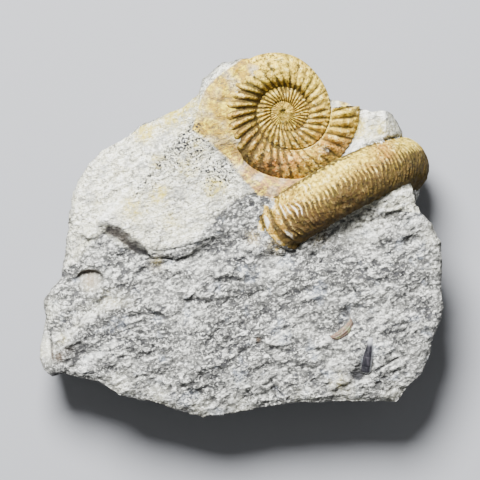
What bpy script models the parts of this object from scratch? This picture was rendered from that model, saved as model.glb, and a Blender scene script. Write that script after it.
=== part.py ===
# A fossil hand piece: two ribbed ammonites, a belemnite and a scrap of shell in a block of
# pale marly limestone. The block lies on its back, so that its fossil face looks up.
# Lengths below are in millimetres, and each mesh is turned into metres when it is made.
# +X runs to the right across the fossil face, +Y to its top edge and +Z out of it.

import math

import bmesh
import bpy
from mathutils import Vector, noise

# Driving dimensions
BLOCK_WIDTH = 142.0
FACE_LEVEL = 42.0
FOSSIL_GAP = 0.3

# Places read off the photograph, in its pixels, and the block's width there
PHOTO_BLOCK_WIDTH = 406.0
PHOTO_MIDDLE = (241.0, 234.5)
SCALE = BLOCK_WIDTH / PHOTO_BLOCK_WIDTH

METRES = 0.001


def place(px, py):
    """The point of the face, in mm, that shows at a pixel of the photograph."""
    return ((px - PHOTO_MIDDLE[0]) * SCALE, (PHOTO_MIDDLE[1] - py) * SCALE)


def clamp01(value):
    return min(1.0, max(0.0, value))


def smooth(low, high, value):
    """0 below low, 1 above high and a smooth rise between."""
    t = clamp01((value - low) / (high - low))
    return t * t * (3 - 2 * t)


def mix(a, b, share):
    return a + (b - a) * share


def mix_points(a, b, share):
    return tuple(mix(p, q, share) for p, q in zip(a, b))


def lump(x, y, z, wavelength, seed):
    """Smooth noise from -1 to 1 with features about one wavelength across."""
    return noise.noise(Vector((x / wavelength + seed, y / wavelength, z / wavelength)))


# The block's outline as it shows from the front, clockwise from the top
OUTLINE_PX = [
    (262, 59), (290, 64), (310, 78), (324, 95), (331, 98), (345, 101), (357, 106),
    (372, 111), (388, 110), (394, 114), (403, 128), (410, 150), (412, 180), (416, 205),
    (432, 224), (442, 242), (444, 264), (443, 290), (445, 308), (441, 322), (435, 340),
    (430, 360), (424, 373), (407, 390), (398, 403), (350, 402), (300, 403), (270, 407),
    (225, 416), (203, 418), (188, 415), (150, 402), (118, 396), (98, 382), (70, 377),
    (61, 374), (51, 378), (43, 372), (38, 360), (39, 345), (44, 318), (42, 300),
    (60, 278), (65, 240), (70, 200), (77, 180), (88, 163), (101, 150), (130, 134),
    (140, 126), (181, 107), (198, 93), (202, 79), (222, 62), (246, 57),
]
HUB = place(235, 257)
OUTLINE = [
    (x - HUB[0], y - HUB[1]) for x, y in (place(*point) for point in OUTLINE_PX)
]


def outline_radius(angle):
    """Distance from the hub to the outline in a direction, on the straight runs between points."""
    dx, dy = math.cos(angle), math.sin(angle)
    for (ax, ay), (bx, by) in zip(OUTLINE, OUTLINE[1:] + OUTLINE[:1]):
        side_a = dx * ay - dy * ax
        side_b = dx * by - dy * bx
        if side_a >= 0 > side_b or (side_a > 0 >= side_b):
            share = side_a / (side_a - side_b)
            x, y = mix(ax, bx, share), mix(ay, by, share)
            if x * dx + y * dy > 0:
                return math.hypot(x, y)
    raise ValueError("the outline isn't closed round its hub")


# The ammonite that shows its side

COIL_CENTRE = place(284.5, 112.5)
# Outer edge of the coil in pixels of the photograph, every eighth of a turn from its first
# whorl to its mouth. The steps are uneven because the coil leans back to the lower right.
COIL_EDGE_PX = [
    9.0, 10.0, 11.4, 12.6, 13.6, 15.4, 18.2, 21.9,
    24.4, 24.8, 25.8, 27.0, 27.8, 30.4, 36.0, 43.6,
    46.3, 49.4, 58.9, 65.0, 66.5, 64.5, 66.7, 71.5,
    75.5, 77.0,
]
COIL_FIRST_TURN = -1.0
COIL_STEP = 0.125
COIL_MID_LEVEL = 43.5
COIL_LEAN = 0.24
WHORL_SHARE = 0.25
# The buried side of the coil, as shares of the edge's radius and depths under the middle plane
COIL_UNDERSIDE = [(0.975, 1.8), (0.84, 5.6)]
COIL_RIBS = 36
COIL_STATIONS = 2 * COIL_RIBS
COIL_END_STATIONS = 3 * COIL_STATIONS + 1
COIL_MOUTH_TURN = COIL_FIRST_TURN + COIL_END_STATIONS / COIL_STATIONS
# Share across a whorl from its inner seam to its outer edge, and the swell there
WHORL_PROFILE = [(0.0, 0.0), (0.13, 0.68), (0.45, 1.0), (0.8, 0.78), (1.0, 0.0)]
RIB_SHARE = 0.021
FREE_EDGE = 0.08
EDGE_RIB_SHARE = 0.008
SEAM_SHARE = 0.5


def coil_edge(turn):
    """Radius of the coil's outer edge, in mm. Whole turns point to +X, and it grows anticlockwise."""
    position = (turn - COIL_FIRST_TURN) / COIL_STEP
    position = min(max(position, 0.0), len(COIL_EDGE_PX) - 1.001)
    i = int(position)
    t = position - i
    points = [
        COIL_EDGE_PX[min(max(i + k, 0), len(COIL_EDGE_PX) - 1)] for k in (-1, 0, 1, 2)
    ]
    a, b, c, d = points
    value = b + 0.5 * t * (c - a + t * (2 * a - 5 * b + 4 * c - d + t * (3 * (b - c) + d - a)))
    return value * SCALE


def coil_lean(dx, dy):
    """Height that the coil's lean adds: its upper left edge stands furthest out."""
    return COIL_LEAN * (dy - dx) / math.sqrt(2)


def edge_swell(turn):
    """Height of the coil's edge curve above its middle plane: a seam inside, low where it is free."""
    share = mix(SEAM_SHARE, FREE_EDGE, smooth(1.0, 1.15, turn))
    return share * WHORL_SHARE * coil_edge(turn)


def coil_point(turn, across, swell, rib):
    """A point of the coil's upper face. rib is 1 on a rib's crest and -1 in a groove."""
    outer = coil_edge(turn)
    inner = coil_edge(turn - 1) if turn >= 0 else 0.0
    radius = mix(inner, outer, across)
    inner_level = edge_swell(turn - 1) if turn >= 0 else 0.2
    base = mix(inner_level, edge_swell(turn), across)
    crown = WHORL_SHARE * outer - base
    raised = base + crown * swell + rib * RIB_SHARE * outer * swell
    angle = math.tau * turn
    dx, dy = radius * math.cos(angle), radius * math.sin(angle)
    return (
        COIL_CENTRE[0] + dx,
        COIL_CENTRE[1] + dy,
        COIL_MID_LEVEL + coil_lean(dx, dy) + raised,
    )


def coil_under_point(turn, share, depth, widen):
    """A point of the coil's buried side, or of its socket where that is widened."""
    radius = share * coil_edge(turn) + widen
    angle = math.tau * turn
    dx, dy = radius * math.cos(angle), radius * math.sin(angle)
    level = COIL_MID_LEVEL + coil_lean(dx, dy) - depth - widen
    return (COIL_CENTRE[0] + dx, COIL_CENTRE[1] + dy, level)


def build_coil():
    """The side-on ammonite: a ribbon that winds outward, welded to itself along its seams."""
    mesh = bmesh.new()
    centre = mesh.verts.new((*COIL_CENTRE, COIL_MID_LEVEL + 0.2))
    last = len(WHORL_PROFILE) - 1
    first = COIL_END_STATIONS - COIL_STATIONS
    rows, under = [], {}
    for i in range(COIL_END_STATIONS + 1):
        turn = COIL_FIRST_TURN + i / COIL_STATIONS
        rib = 1 if i % 2 == 0 else -1
        row = [rows[i - COIL_STATIONS][last] if i >= COIL_STATIONS else centre]
        for across, swell in WHORL_PROFILE[1:]:
            point = coil_point(turn, across, swell, rib)
            if across == 1 and i > first + 1:
                point = mix_points(point, (*COIL_CENTRE, point[2]), -rib * EDGE_RIB_SHARE)
            row.append(mesh.verts.new(point))
        rows.append(row)
        if i >= first:
            under[i] = [
                mesh.verts.new(coil_under_point(turn, share, depth, 0.0))
                for share, depth in COIL_UNDERSIDE
            ]
    for i in range(COIL_END_STATIONS):
        near, far = rows[i], rows[i + 1]
        for k in range(last):
            corners = [near[k], near[k + 1], far[k + 1], far[k]]
            mesh.faces.new(list(dict.fromkeys(corners)))
    for i in range(first, COIL_END_STATIONS):
        near, far = [rows[i][last], *under[i]], [rows[i + 1][last], *under[i + 1]]
        for k in range(len(COIL_UNDERSIDE)):
            mesh.faces.new([near[k], near[k + 1], far[k + 1], far[k]])
    mesh.faces.new([centre, *reversed(rows[0][1:])])
    mesh.faces.new([*rows[COIL_END_STATIONS], *under[COIL_END_STATIONS], *reversed(under[first])])
    mesh.faces.new([under[i][-1] for i in sorted(under, reverse=True)])
    return mesh


def build_coil_socket():
    """Cutter for the socket of the side-on ammonite, a little wider than its buried side."""
    mesh = bmesh.new()
    widen = FOSSIL_GAP * 1.6 + EDGE_RIB_SHARE * coil_edge(1.5)
    steps = COIL_STATIONS // 2
    rings = [[] for _ in range(len(COIL_UNDERSIDE) + 2)]
    for i in range(steps + 1):
        turn = COIL_MOUTH_TURN - 1 + i / steps
        if i == steps:
            turn += FOSSIL_GAP / coil_edge(turn) / math.tau
        for k, (share, depth) in enumerate(reversed(COIL_UNDERSIDE)):
            rings[k].append(coil_under_point(turn, share, depth, widen))
        edge = coil_under_point(turn, 1.0, 0.0, widen)
        rings[-2].append(edge)
        rings[-1].append((edge[0], edge[1], FACE_LEVEL + 30))
    rings = [[mesh.verts.new(point) for point in ring] for ring in rings]
    for low, high in zip(rings, rings[1:]):
        for a, b, c, d in zip(low, low[1:] + low[:1], high[1:] + high[:1], high):
            mesh.faces.new([a, b, c, d])
    mesh.faces.new(reversed(rings[0]))
    mesh.faces.new(rings[-1])
    return mesh


# The ammonite that stands on edge

RIM_RADIUS = 36.0
RIM_HALF_WIDTH = 9.4
RIM_CROWN = 9.5
RIM_DEPTH = 19.0
RIM_CENTRE_LEVEL = 23.0
RIM_TIP_DEG = 8.0
RIM_DIRECTION = Vector((0.872, 0.489, 0)).normalized()
RIM_SIDEWAYS = Vector((-RIM_DIRECTION.y, RIM_DIRECTION.x, 0))
RIM_MARK = place(342.6, 182.8)
RIM_ALONG, RIM_ASIDE = -5.2, -4.9
RIM_FIRST_DEG, RIM_LAST_DEG = -20.0, 152.0
RIM_RIBS = 40
RIM_RIB_HEIGHT = 0.5


def rim_frame():
    """Centre of the wheel, its direction along the face, its up and its sideways directions."""
    tip = math.radians(RIM_TIP_DEG)
    up = Vector((0, 0, 1)) * math.cos(tip) + RIM_SIDEWAYS * math.sin(tip)
    side = RIM_DIRECTION.cross(up)
    centre = Vector((*RIM_MARK, RIM_CENTRE_LEVEL))
    centre += RIM_DIRECTION * RIM_ALONG + RIM_SIDEWAYS * RIM_ASIDE
    return centre, RIM_DIRECTION, up, side


def rim_section(widen, swell_steps):
    """Half-round outer edge of the whorl with its flanks, as sideways and outward distances."""
    points = []
    for k in range(swell_steps + 1):
        angle = math.pi * (k / swell_steps - 0.5)
        sideways = (RIM_HALF_WIDTH + widen) * math.sin(angle)
        outward = RIM_RADIUS - RIM_CROWN + (RIM_CROWN + widen) * math.cos(angle) ** 0.85
        points.append((sideways, outward, 1.0))
    flank = RIM_HALF_WIDTH - 1.0 + widen
    inner = RIM_RADIUS - RIM_DEPTH - widen
    return [(-flank, inner, 0.0), *points, (flank, inner, 0.0)]


def build_rim(widen, stations, ribbed):
    """A sector of the standing whorl. Widened and smooth, it is the cutter for its slot."""
    mesh = bmesh.new()
    centre, along, up, side = rim_frame()
    section = rim_section(widen, 10)
    spare = math.degrees(widen / RIM_RADIUS)
    first, last = RIM_FIRST_DEG - spare, RIM_LAST_DEG + spare
    rings = []
    for i in range(stations + 1):
        angle = math.radians(mix(first, last, i / stations))
        outward = along * math.cos(angle) + up * math.sin(angle)
        rib = RIM_RIB_HEIGHT * (0.5 if i % 2 == 0 else -0.5) if ribbed else 0.0
        ring = []
        for sideways, distance, swell in section:
            lean = side * sideways + outward * (distance - RIM_RADIUS + RIM_CROWN)
            shift = lean.normalized() * rib * swell
            ring.append(mesh.verts.new(centre + side * sideways + outward * distance + shift))
        rings.append(ring)
    for near, far in zip(rings, rings[1:]):
        for a, b, c, d in zip(near, near[1:] + near[:1], far[1:] + far[:1], far):
            mesh.faces.new([a, b, c, d])
    mesh.faces.new(reversed(rings[0]))
    mesh.faces.new(rings[-1])
    return mesh


# The block's fossil face

# Lower edge of the smooth upper left plate, a ledge that stands over the rough face
LEDGE = [place(*p) for p in [(100, 214), (108, 223), (122, 234), (136, 255), (166, 256)]]
LEDGE += [place(*p) for p in [(200, 249), (232, 236), (256, 214), (270, 200)]]
LEDGE_HEIGHT = 3.0
LEDGE_RUN = 0.6
LEDGE_REACH = 2.4
LEDGE_FADE_FROM = 0.55
PLATE_LEVEL = 46.3
PLATE_SLOPE = 0.02
PLATE_SWELL, PLATE_WAVE = 0.5, 30.0
PLATE_BLEND = 14.0
# Crest between the plate and the slope to the left edge, from its top end to its low end
CREST_TOP, CREST_LOW = place(205, 92), place(112, 228)
LEFT_SLOPE = 0.34
# The rough lower face rises to the top edge, and drops away beyond these places to three sides
FACE_SLOPE = 0.10
FACE_SLOPE_MIDDLE = -20.0
LEFT_DROP_FROM, LEFT_DROP = -44.0, 0.30
RIGHT_DROP_FROM, RIGHT_DROP = 50.0, 0.26
LOW_DROP_FROM, LOW_DROP_BEND = -34.0, 0.0035
SWELL_HEIGHT, SWELL_WAVE = 0.9, 24.0
# The broken face has long low ridges that rise to the right
GRAIN_ANGLE = math.radians(18)
GRAIN_HEIGHT, GRAIN_WAVE, GRAIN_STRETCH = 0.9, 16.0, 2.2
CUP_CENTRE = place(89, 277)
CUP_RADIUS = 5.2
CUP_DEPTH = 2.2
CUP_STRETCH = 1.5
APRON_WIDTH = 9.0
LIP_WIDTH = 2.5
LAP_HEIGHT = 1.2
# A shoulder of stone behind the two ammonites
SHOULDER = place(382, 122)
SHOULDER_RADIUS = 12.0
SHOULDER_LEVEL = 44.5


def along_path(path, x, y):
    """Distance to a path, the side it lies on (+ to its left), the share along it and its foot."""
    best = (1e9, 1.0, 0.0, path[0])
    for i, ((ax, ay), (bx, by)) in enumerate(zip(path, path[1:])):
        ex, ey = bx - ax, by - ay
        t = clamp01(((x - ax) * ex + (y - ay) * ey) / (ex * ex + ey * ey))
        foot = (ax + t * ex, ay + t * ey)
        gap = math.hypot(x - foot[0], y - foot[1])
        if gap < best[0] - 1e-9:
            side = 1.0 if ex * (y - ay) - ey * (x - ax) > 0 else -1.0
            best = (gap, side, (i + t) / (len(path) - 1), foot)
    return best


def hug_ledge(x, y):
    """Draws a point that lies close to the ledge onto its top or its foot."""
    gap, _, _, foot = along_path(LEDGE, x, y)
    if not 1e-6 < gap < LEDGE_REACH:
        return x, y
    return mix(foot[0], x, LEDGE_RUN / gap), mix(foot[1], y, LEDGE_RUN / gap)


def rough_face(x, y):
    """The broken lower face: it falls gently to the bottom edge, and faster to the left and right."""
    level = FACE_LEVEL + FACE_SLOPE * (y - FACE_SLOPE_MIDDLE)
    level -= LEFT_DROP * max(0.0, LEFT_DROP_FROM - x)
    level -= RIGHT_DROP * max(0.0, x - RIGHT_DROP_FROM)
    level -= LOW_DROP_BEND * max(0.0, LOW_DROP_FROM - y) ** 2
    level += SWELL_HEIGHT * lump(x, y, 0, SWELL_WAVE, 3.1)
    along = x * math.cos(GRAIN_ANGLE) + y * math.sin(GRAIN_ANGLE)
    across = y * math.cos(GRAIN_ANGLE) - x * math.sin(GRAIN_ANGLE)
    level += GRAIN_HEIGHT * lump(along, across * GRAIN_STRETCH, 0, GRAIN_WAVE, 6.6)
    behind = math.hypot(x - SHOULDER[0], y - SHOULDER[1]) / SHOULDER_RADIUS
    return mix(level, SHOULDER_LEVEL, 1 - smooth(0.7, 1.3, behind))


def plate_face(x, y):
    """The smooth plate at the upper left, and its slope to the left edge."""
    level = PLATE_LEVEL + PLATE_SLOPE * y + PLATE_SWELL * lump(x, y, 0, PLATE_WAVE, 9.4)
    ex, ey = CREST_LOW[0] - CREST_TOP[0], CREST_LOW[1] - CREST_TOP[1]
    beyond = (ey * (x - CREST_TOP[0]) - ex * (y - CREST_TOP[1])) / math.hypot(ex, ey)
    return level - LEFT_SLOPE * max(0.0, beyond)


def coil_mound(x, y, level):
    """Stone that laps against the side-on ammonite: an apron at its left, a lip at its right."""
    dx, dy = x - COIL_CENTRE[0], y - COIL_CENTRE[1]
    radius = math.hypot(dx, dy)
    start = COIL_MOUTH_TURN - 1
    turn = start + ((math.atan2(dy, dx) / math.tau - start) % 1.0)
    edge = coil_edge(turn)
    reach = edge / max(radius, 1.0)
    rim = COIL_MID_LEVEL + coil_lean(dx * reach, dy * reach) + LAP_HEIGHT
    width = APRON_WIDTH if rim > level else LIP_WIDTH
    return mix(level, rim, 1 - smooth(0.0, width, radius - edge))


def face_height(x, y):
    """Height of the stone's fossil face, in mm, over a point of the base."""
    rough = rough_face(x, y)
    plate = plate_face(x, y)
    gap, side, share, _ = along_path(LEDGE, x, y)
    inside = smooth(-LEDGE_RUN, LEDGE_RUN, gap * side)
    step = max(plate, rough + LEDGE_HEIGHT * (1 - smooth(LEDGE_FADE_FROM, 1.0, share)))
    upper = mix(step, plate, smooth(0, PLATE_BLEND, gap)) if side > 0 else step
    level = mix(rough, upper, inside)
    level = coil_mound(x, y, level)
    cup = math.hypot(x - CUP_CENTRE[0], (y - CUP_CENTRE[1]) * CUP_STRETCH) / CUP_RADIUS
    return level - CUP_DEPTH * (1 - smooth(0.3, 1.1, cup))


# The block's sides

WIDEST_LEVEL = 22.0
TOP_INSET, TOP_INSET_BY_COIL = 3.2, 0.9
# Directions from the hub between which the stone comes up right under the coil
COIL_BACK_FROM, COIL_BACK_TO = math.radians(50), math.radians(97)
COIL_BACK_BLEND = 0.12
CORNER_SLANT = 0.05
# How the sides wander: the widest level's height, the undercut below it and the dents
WIDEST_WANDER = 7.0
UNDERCUT, UNDERCUT_WANDER, UNDERCUT_LEAST = 0.20, 0.22, 0.03
DENT_DEPTH, DENT_OUT, DENT_WAVE = 1.1, 0.4, 13.0
WANDER_RADIUS = 30.0
# The stone stands out below the right end of the standing ammonite, and holds it there
HEEL_PLACE = place(424, 168)
HEEL_ANGLE = math.atan2(HEEL_PLACE[1] - HUB[1], HEEL_PLACE[0] - HUB[0])
HEEL_SPREAD = 0.16
HEEL_OUT = 6.0
HEEL_LOW_LEVEL, HEEL_TOP_LEVEL = 14.0, 26.0


def top_inset(angle):
    """How far the face's border lies inside the outline, in a direction from the hub."""
    from_low = smooth(COIL_BACK_FROM - COIL_BACK_BLEND, COIL_BACK_FROM, angle)
    from_high = 1 - smooth(COIL_BACK_TO, COIL_BACK_TO + COIL_BACK_BLEND, angle)
    return mix(TOP_INSET, TOP_INSET_BY_COIL, from_low * from_high)


def side_radius(angle, z, top):
    """Distance of the block's side from the hub at a height, under the face's height there."""
    cx, cy = WANDER_RADIUS * math.cos(angle), WANDER_RADIUS * math.sin(angle)
    widest = WIDEST_LEVEL + WIDEST_WANDER * lump(cx, cy, 0, 22, 5.7)
    slant = CORNER_SLANT * lump(cx, cy, 0, 26, 2.9) * (z - widest) / WIDEST_LEVEL
    full = outline_radius(angle + slant * smooth(0, 6, top - z))
    under = UNDERCUT + UNDERCUT_WANDER * lump(cx, cy, 0, 15, 1.3)
    over = top_inset(angle) / max(top - widest, 6.0)
    inset = max(UNDERCUT_LEAST, under) * max(0.0, widest - z) + over * max(0.0, z - widest)
    x, y = full * math.cos(angle), full * math.sin(angle)
    dent = min(DENT_OUT, DENT_DEPTH * lump(x, y, z * 1.4, DENT_WAVE, 7.7))
    heel = HEEL_OUT * math.exp(-(((angle - HEEL_ANGLE) / HEEL_SPREAD) ** 2))
    heel *= 1 - smooth(HEEL_LOW_LEVEL, HEEL_TOP_LEVEL, z)
    return full - inset + heel + dent * smooth(0, 8, z) * smooth(0, 6, top - z)


# Blocks of the grid across the face, and rings of the sides
FACE_CELLS = 32
SIDE_RINGS = 8


def disc(u, v):
    """A point of the unit disc for a point of the square from -1 to 1."""
    return u * math.sqrt(1 - v * v / 2), v * math.sqrt(1 - u * u / 2)


def build_block():
    """The stone: a grid over the fossil face, rings down the sides and a flat base."""
    mesh = bmesh.new()
    grid = []
    for j in range(FACE_CELLS + 1):
        row = []
        for i in range(FACE_CELLS + 1):
            u, v = disc(2 * i / FACE_CELLS - 1, 2 * j / FACE_CELLS - 1)
            angle, share = math.atan2(v, u), min(1.0, math.hypot(u, v))
            radius = share * (outline_radius(angle) - top_inset(angle))
            x, y = HUB[0] + radius * math.cos(angle), HUB[1] + radius * math.sin(angle)
            x, y = hug_ledge(x, y)
            row.append(mesh.verts.new((x, y, face_height(x, y))))
        grid.append(row)
    n = FACE_CELLS
    for j in range(n):
        for i in range(n):
            corners = [grid[j][i], grid[j][i + 1], grid[j + 1][i + 1], grid[j + 1][i]]
            mesh.faces.new(corners)
    ring = [grid[0][i] for i in range(n)] + [grid[j][n] for j in range(n)]
    ring += [grid[n][i] for i in range(n, 0, -1)] + [grid[j][0] for j in range(n, 0, -1)]
    tops = [vertex.co.copy() for vertex in ring]
    for k in range(1, SIDE_RINGS + 1):
        lower = []
        for top in tops:
            angle = math.atan2(top.y - HUB[1], top.x - HUB[0])
            z = top.z * (1 - k / SIDE_RINGS)
            radius = side_radius(angle, z, top.z)
            x, y = HUB[0] + radius * math.cos(angle), HUB[1] + radius * math.sin(angle)
            lower.append(mesh.verts.new((x, y, z)))
        for a, b, c, d in zip(ring, ring[1:] + ring[:1], lower[1:] + lower[:1], lower):
            mesh.faces.new([a, d, c, b])
        ring = lower
    mesh.faces.new(reversed(ring))
    return mesh


# Small fossils in the lower face

BELEMNITE_TOP, BELEMNITE_FOOT = place(371, 338), place(366, 373)
BELEMNITE_RADIUS = 1.35
SHELL_ENDS = place(331, 339), place(353, 321)
SHELL_WIDTH, SHELL_BULGE = 3.2, 2.2


def build_belemnite(widen):
    """A bullet-shaped rod that lies in the face, pointed at its top end."""
    mesh = bmesh.new()
    (ax, ay), (bx, by) = BELEMNITE_TOP, BELEMNITE_FOOT
    top = Vector((ax, ay, face_height(ax, ay) - 0.1))
    foot = Vector((bx, by, face_height(bx, by) + 0.1))
    axis = (foot - top).normalized()
    aside = axis.cross(Vector((0, 0, 1))).normalized()
    out = aside.cross(axis)
    rings = []
    for share, wide in [(0.0, 0.35), (0.12, 0.62), (0.35, 0.85), (0.7, 1.0), (1.0, 1.0)]:
        point = top.lerp(foot, share)
        point += axis * widen * (2 * share - 1)
        ring = []
        for k in range(12):
            turn = math.tau * k / 12
            spoke = aside * math.cos(turn) + out * math.sin(turn)
            ring.append(mesh.verts.new(point + spoke * (wide * BELEMNITE_RADIUS + widen)))
        rings.append(ring)
    for near, far in zip(rings, rings[1:]):
        for a, b, c, d in zip(near, near[1:] + near[:1], far[1:] + far[:1], far):
            mesh.faces.new([a, b, c, d])
    mesh.faces.new(reversed(rings[0]))
    mesh.faces.new(rings[-1])
    return mesh


def build_shell(widen):
    """A crescent of shell that stands out of the face, bowed to the lower right."""
    mesh = bmesh.new()
    (ax, ay), (bx, by) = SHELL_ENDS
    along = Vector((bx - ax, by - ay, 0)).normalized()
    aside = Vector((along.y, -along.x, 0))
    middle = Vector(((ax + bx) / 2, (ay + by) / 2, 0))
    half = math.hypot(bx - ax, by - ay) / 2 + widen
    level = face_height(middle.x, middle.y)
    rings = []
    for k in range(9):
        t = 2 * k / 8 - 1
        swell = math.sqrt(max(0.0, 1 - t * t))
        centre = middle + along * half * t + aside * SHELL_BULGE * (swell - 0.5)
        wide = (0.25 + 0.75 * swell) * SHELL_WIDTH / 2 + widen
        low, high = level - 1.5 - widen, level + 0.2 + 0.9 * swell + widen
        across = [(-wide, low), (wide, low), (wide, high - 0.5), (0, high), (-wide, high - 0.5)]
        ring = [mesh.verts.new(centre + aside * s + Vector((0, 0, z))) for s, z in across]
        rings.append(ring)
    for near, far in zip(rings, rings[1:]):
        for a, b, c, d in zip(near, near[1:] + near[:1], far[1:] + far[:1], far):
            mesh.faces.new([a, b, c, d])
    mesh.faces.new(reversed(rings[0]))
    mesh.faces.new(rings[-1])
    return mesh


# Materials, objects and cuts

def stone_material(name, colour, roughness):
    material = bpy.data.materials.new(name)
    material.use_nodes = True
    shader = material.node_tree.nodes["Principled BSDF"]
    shader.inputs["Base Color"].default_value = (*colour, 1)
    shader.inputs["Roughness"].default_value = roughness
    shader.inputs["Metallic"].default_value = 0
    return material


def add_object(name, mesh, material=None):
    """Turns a bmesh in mm into an object in metres with its faces pointing out."""
    bmesh.ops.scale(mesh, vec=Vector((METRES, METRES, METRES)), verts=mesh.verts)
    bmesh.ops.recalc_face_normals(mesh, faces=mesh.faces)
    data = bpy.data.meshes.new(name)
    mesh.to_mesh(data)
    mesh.free()
    obj = bpy.data.objects.new(name, data)
    bpy.context.scene.collection.objects.link(obj)
    if material:
        data.materials.append(material)
    else:
        obj.hide_render = True
        obj.display_type = "WIRE"
    return obj


def cut(obj, cutter):
    """Takes the cutter's shape out of an object."""
    step = obj.modifiers.new(cutter.name, "BOOLEAN")
    step.operation = "DIFFERENCE"
    step.solver = "EXACT"
    step.object = cutter


def centre_on_base(objects):
    """Moves everything so that the middle of the whole, seen from above, is on the Z axis."""
    corners = [obj.matrix_world @ v.co for obj in objects for v in obj.data.vertices]
    low = [min(c[k] for c in corners) for k in range(2)]
    high = [max(c[k] for c in corners) for k in range(2)]
    shift = Vector((-(low[0] + high[0]) / 2, -(low[1] + high[1]) / 2, 0))
    for obj in bpy.context.scene.objects:
        obj.location = shift


def main():
    for obj in list(bpy.data.objects):
        bpy.data.objects.remove(obj)
    limestone = stone_material("limestone", (0.62, 0.61, 0.58), 0.92)
    fossil = stone_material("golden_fossil", (0.55, 0.41, 0.20), 0.62)
    dark = stone_material("dark_calcite", (0.09, 0.09, 0.11), 0.5)
    brown = stone_material("brown_shell", (0.42, 0.30, 0.19), 0.5)

    block = add_object("matrix", build_block(), limestone)
    coil = add_object("ammonite_side", build_coil(), fossil)
    rim = add_object("ammonite_edge", build_rim(0.0, 2 * RIM_RIBS, True), fossil)
    belemnite = add_object("belemnite", build_belemnite(0.0), dark)
    shell = add_object("shell_fragment", build_shell(0.0), brown)

    slot = add_object("slot_cutter", build_rim(RIM_RIB_HEIGHT / 2 + FOSSIL_GAP, 36, False))
    socket = add_object("socket_cutter", build_coil_socket())
    groove = add_object("groove_cutter", build_belemnite(FOSSIL_GAP))
    pit = add_object("pit_cutter", build_shell(FOSSIL_GAP))
    for cutter in (slot, socket, groove, pit):
        cut(block, cutter)
    cut(coil, slot)
    centre_on_base([block, coil, rim, belemnite, shell])


main()
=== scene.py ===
from math import atan2, copysign, cos, exp, hypot, pi, radians, sin, sqrt, tau

import bpy
import numpy as np
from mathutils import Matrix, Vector, noise


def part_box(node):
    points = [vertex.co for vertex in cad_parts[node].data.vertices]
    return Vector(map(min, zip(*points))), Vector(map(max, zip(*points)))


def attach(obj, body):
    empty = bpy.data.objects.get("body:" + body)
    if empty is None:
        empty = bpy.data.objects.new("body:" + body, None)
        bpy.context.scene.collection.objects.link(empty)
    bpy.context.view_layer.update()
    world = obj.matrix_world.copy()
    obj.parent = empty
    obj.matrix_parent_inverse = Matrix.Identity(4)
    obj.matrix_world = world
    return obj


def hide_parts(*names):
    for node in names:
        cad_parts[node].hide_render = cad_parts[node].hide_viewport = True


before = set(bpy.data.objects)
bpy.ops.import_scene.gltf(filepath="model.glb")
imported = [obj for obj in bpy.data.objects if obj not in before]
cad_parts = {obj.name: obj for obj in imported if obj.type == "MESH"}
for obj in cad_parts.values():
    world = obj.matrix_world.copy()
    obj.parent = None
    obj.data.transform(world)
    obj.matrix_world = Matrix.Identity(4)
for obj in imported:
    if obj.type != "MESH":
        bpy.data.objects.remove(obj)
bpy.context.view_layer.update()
print("frame loaded:", sorted(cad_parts))

# Lengths are in mm until a piece is made. x and y count from the middle of the photograph's block.
photo = {
    "blockWidth": 142.0,  # mm
    "blockPixels": 406.0,
    "middle": (241.0, 234.5),  # pixel that the frame's middle stands for
    "pixels": 480,  # its width and height
}
scale = photo["blockWidth"] / photo["blockPixels"]


def place(px, py):  # the face's point in mm that shows at a pixel
    return (px - photo["middle"][0]) * scale, (photo["middle"][1] - py) * scale


def clamp01(value):
    return min(1.0, max(0.0, value))


def smooth(low, high, value):  # rises from 0 at low to 1 at high
    t = clamp01((value - low) / (high - low))
    return t * t * (3 - 2 * t)


def fall(low, high, value):  # falls from 1 at low to 0 at high
    return 1 - smooth(low, high, value)


def between(low, high, lowEnd, highEnd, value):  # rises, and falls again
    return smooth(low, high, value) * fall(lowEnd, highEnd, value)


def mix(a, b, share):
    return a + (b - a) * share


def lump(x, y, z, wavelength, seed):  # one smooth noise, -1 to 1
    return noise.noise(Vector((x / wavelength + seed, y / wavelength, z / wavelength)))


def crumb(x, y, z, wavelength, seed, octaves=4):  # rough noise, about -1 to 1
    spot = Vector((x / wavelength + seed, y / wavelength - seed, z / wavelength))
    return noise.fractal(spot, 0.9, 2.1, octaves)


def scales(a, b, c, size, seed, rise):  # flat scales of stone, each with its own tilt
    spot = Vector((a / size + seed, b / size + seed * 0.7, c / size - seed))
    gaps, centres = noise.voronoi(spot)
    heights = []
    for centre in centres[:2]:
        tilt = noise.cell_vector(centre * 57.3) * 2 - Vector((1, 1, 1))
        offset = spot - centre
        slope = tilt.x * 0.8 * offset.x + (tilt.y * 0.9 - rise) * offset.y + tilt.z * 0.5 * offset.z
        heights.append(slope + tilt.z * 0.28)
    return mix((heights[0] + heights[1]) / 2, heights[0], smooth(0.0, 0.2, gaps[1] - gaps[0]))


def brokenStone(a, b, c, seed):  # scales at four sizes, drawn out along the first direction
    crumbs = crumb(a, b, c, 1.9, seed + 1.7)
    warp = 1.5 * lump(a, b, c, 5.0, seed + 2.2)
    turn = 2.6 * lump(a, b, c, 15.0, seed + 8.8)
    a, b = (a + warp) / 1.5, b + warp * 0.6 + turn
    total = 1.1 * scales(a, b, c, 12.0, seed, 0.2)
    total += 0.85 * scales(a, b, c, 5.6, seed + 3.1, 0.3) * (0.9 + 0.8 * lump(a, b, c, 11.0, seed))
    total += 0.85 * scales(a, b, c, 2.7, seed + 5.5, 0.35)
    total += 0.6 * scales(a, b, c, 1.5, seed + 9.1, 0.35)
    return total + 0.5 * crumbs


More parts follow.
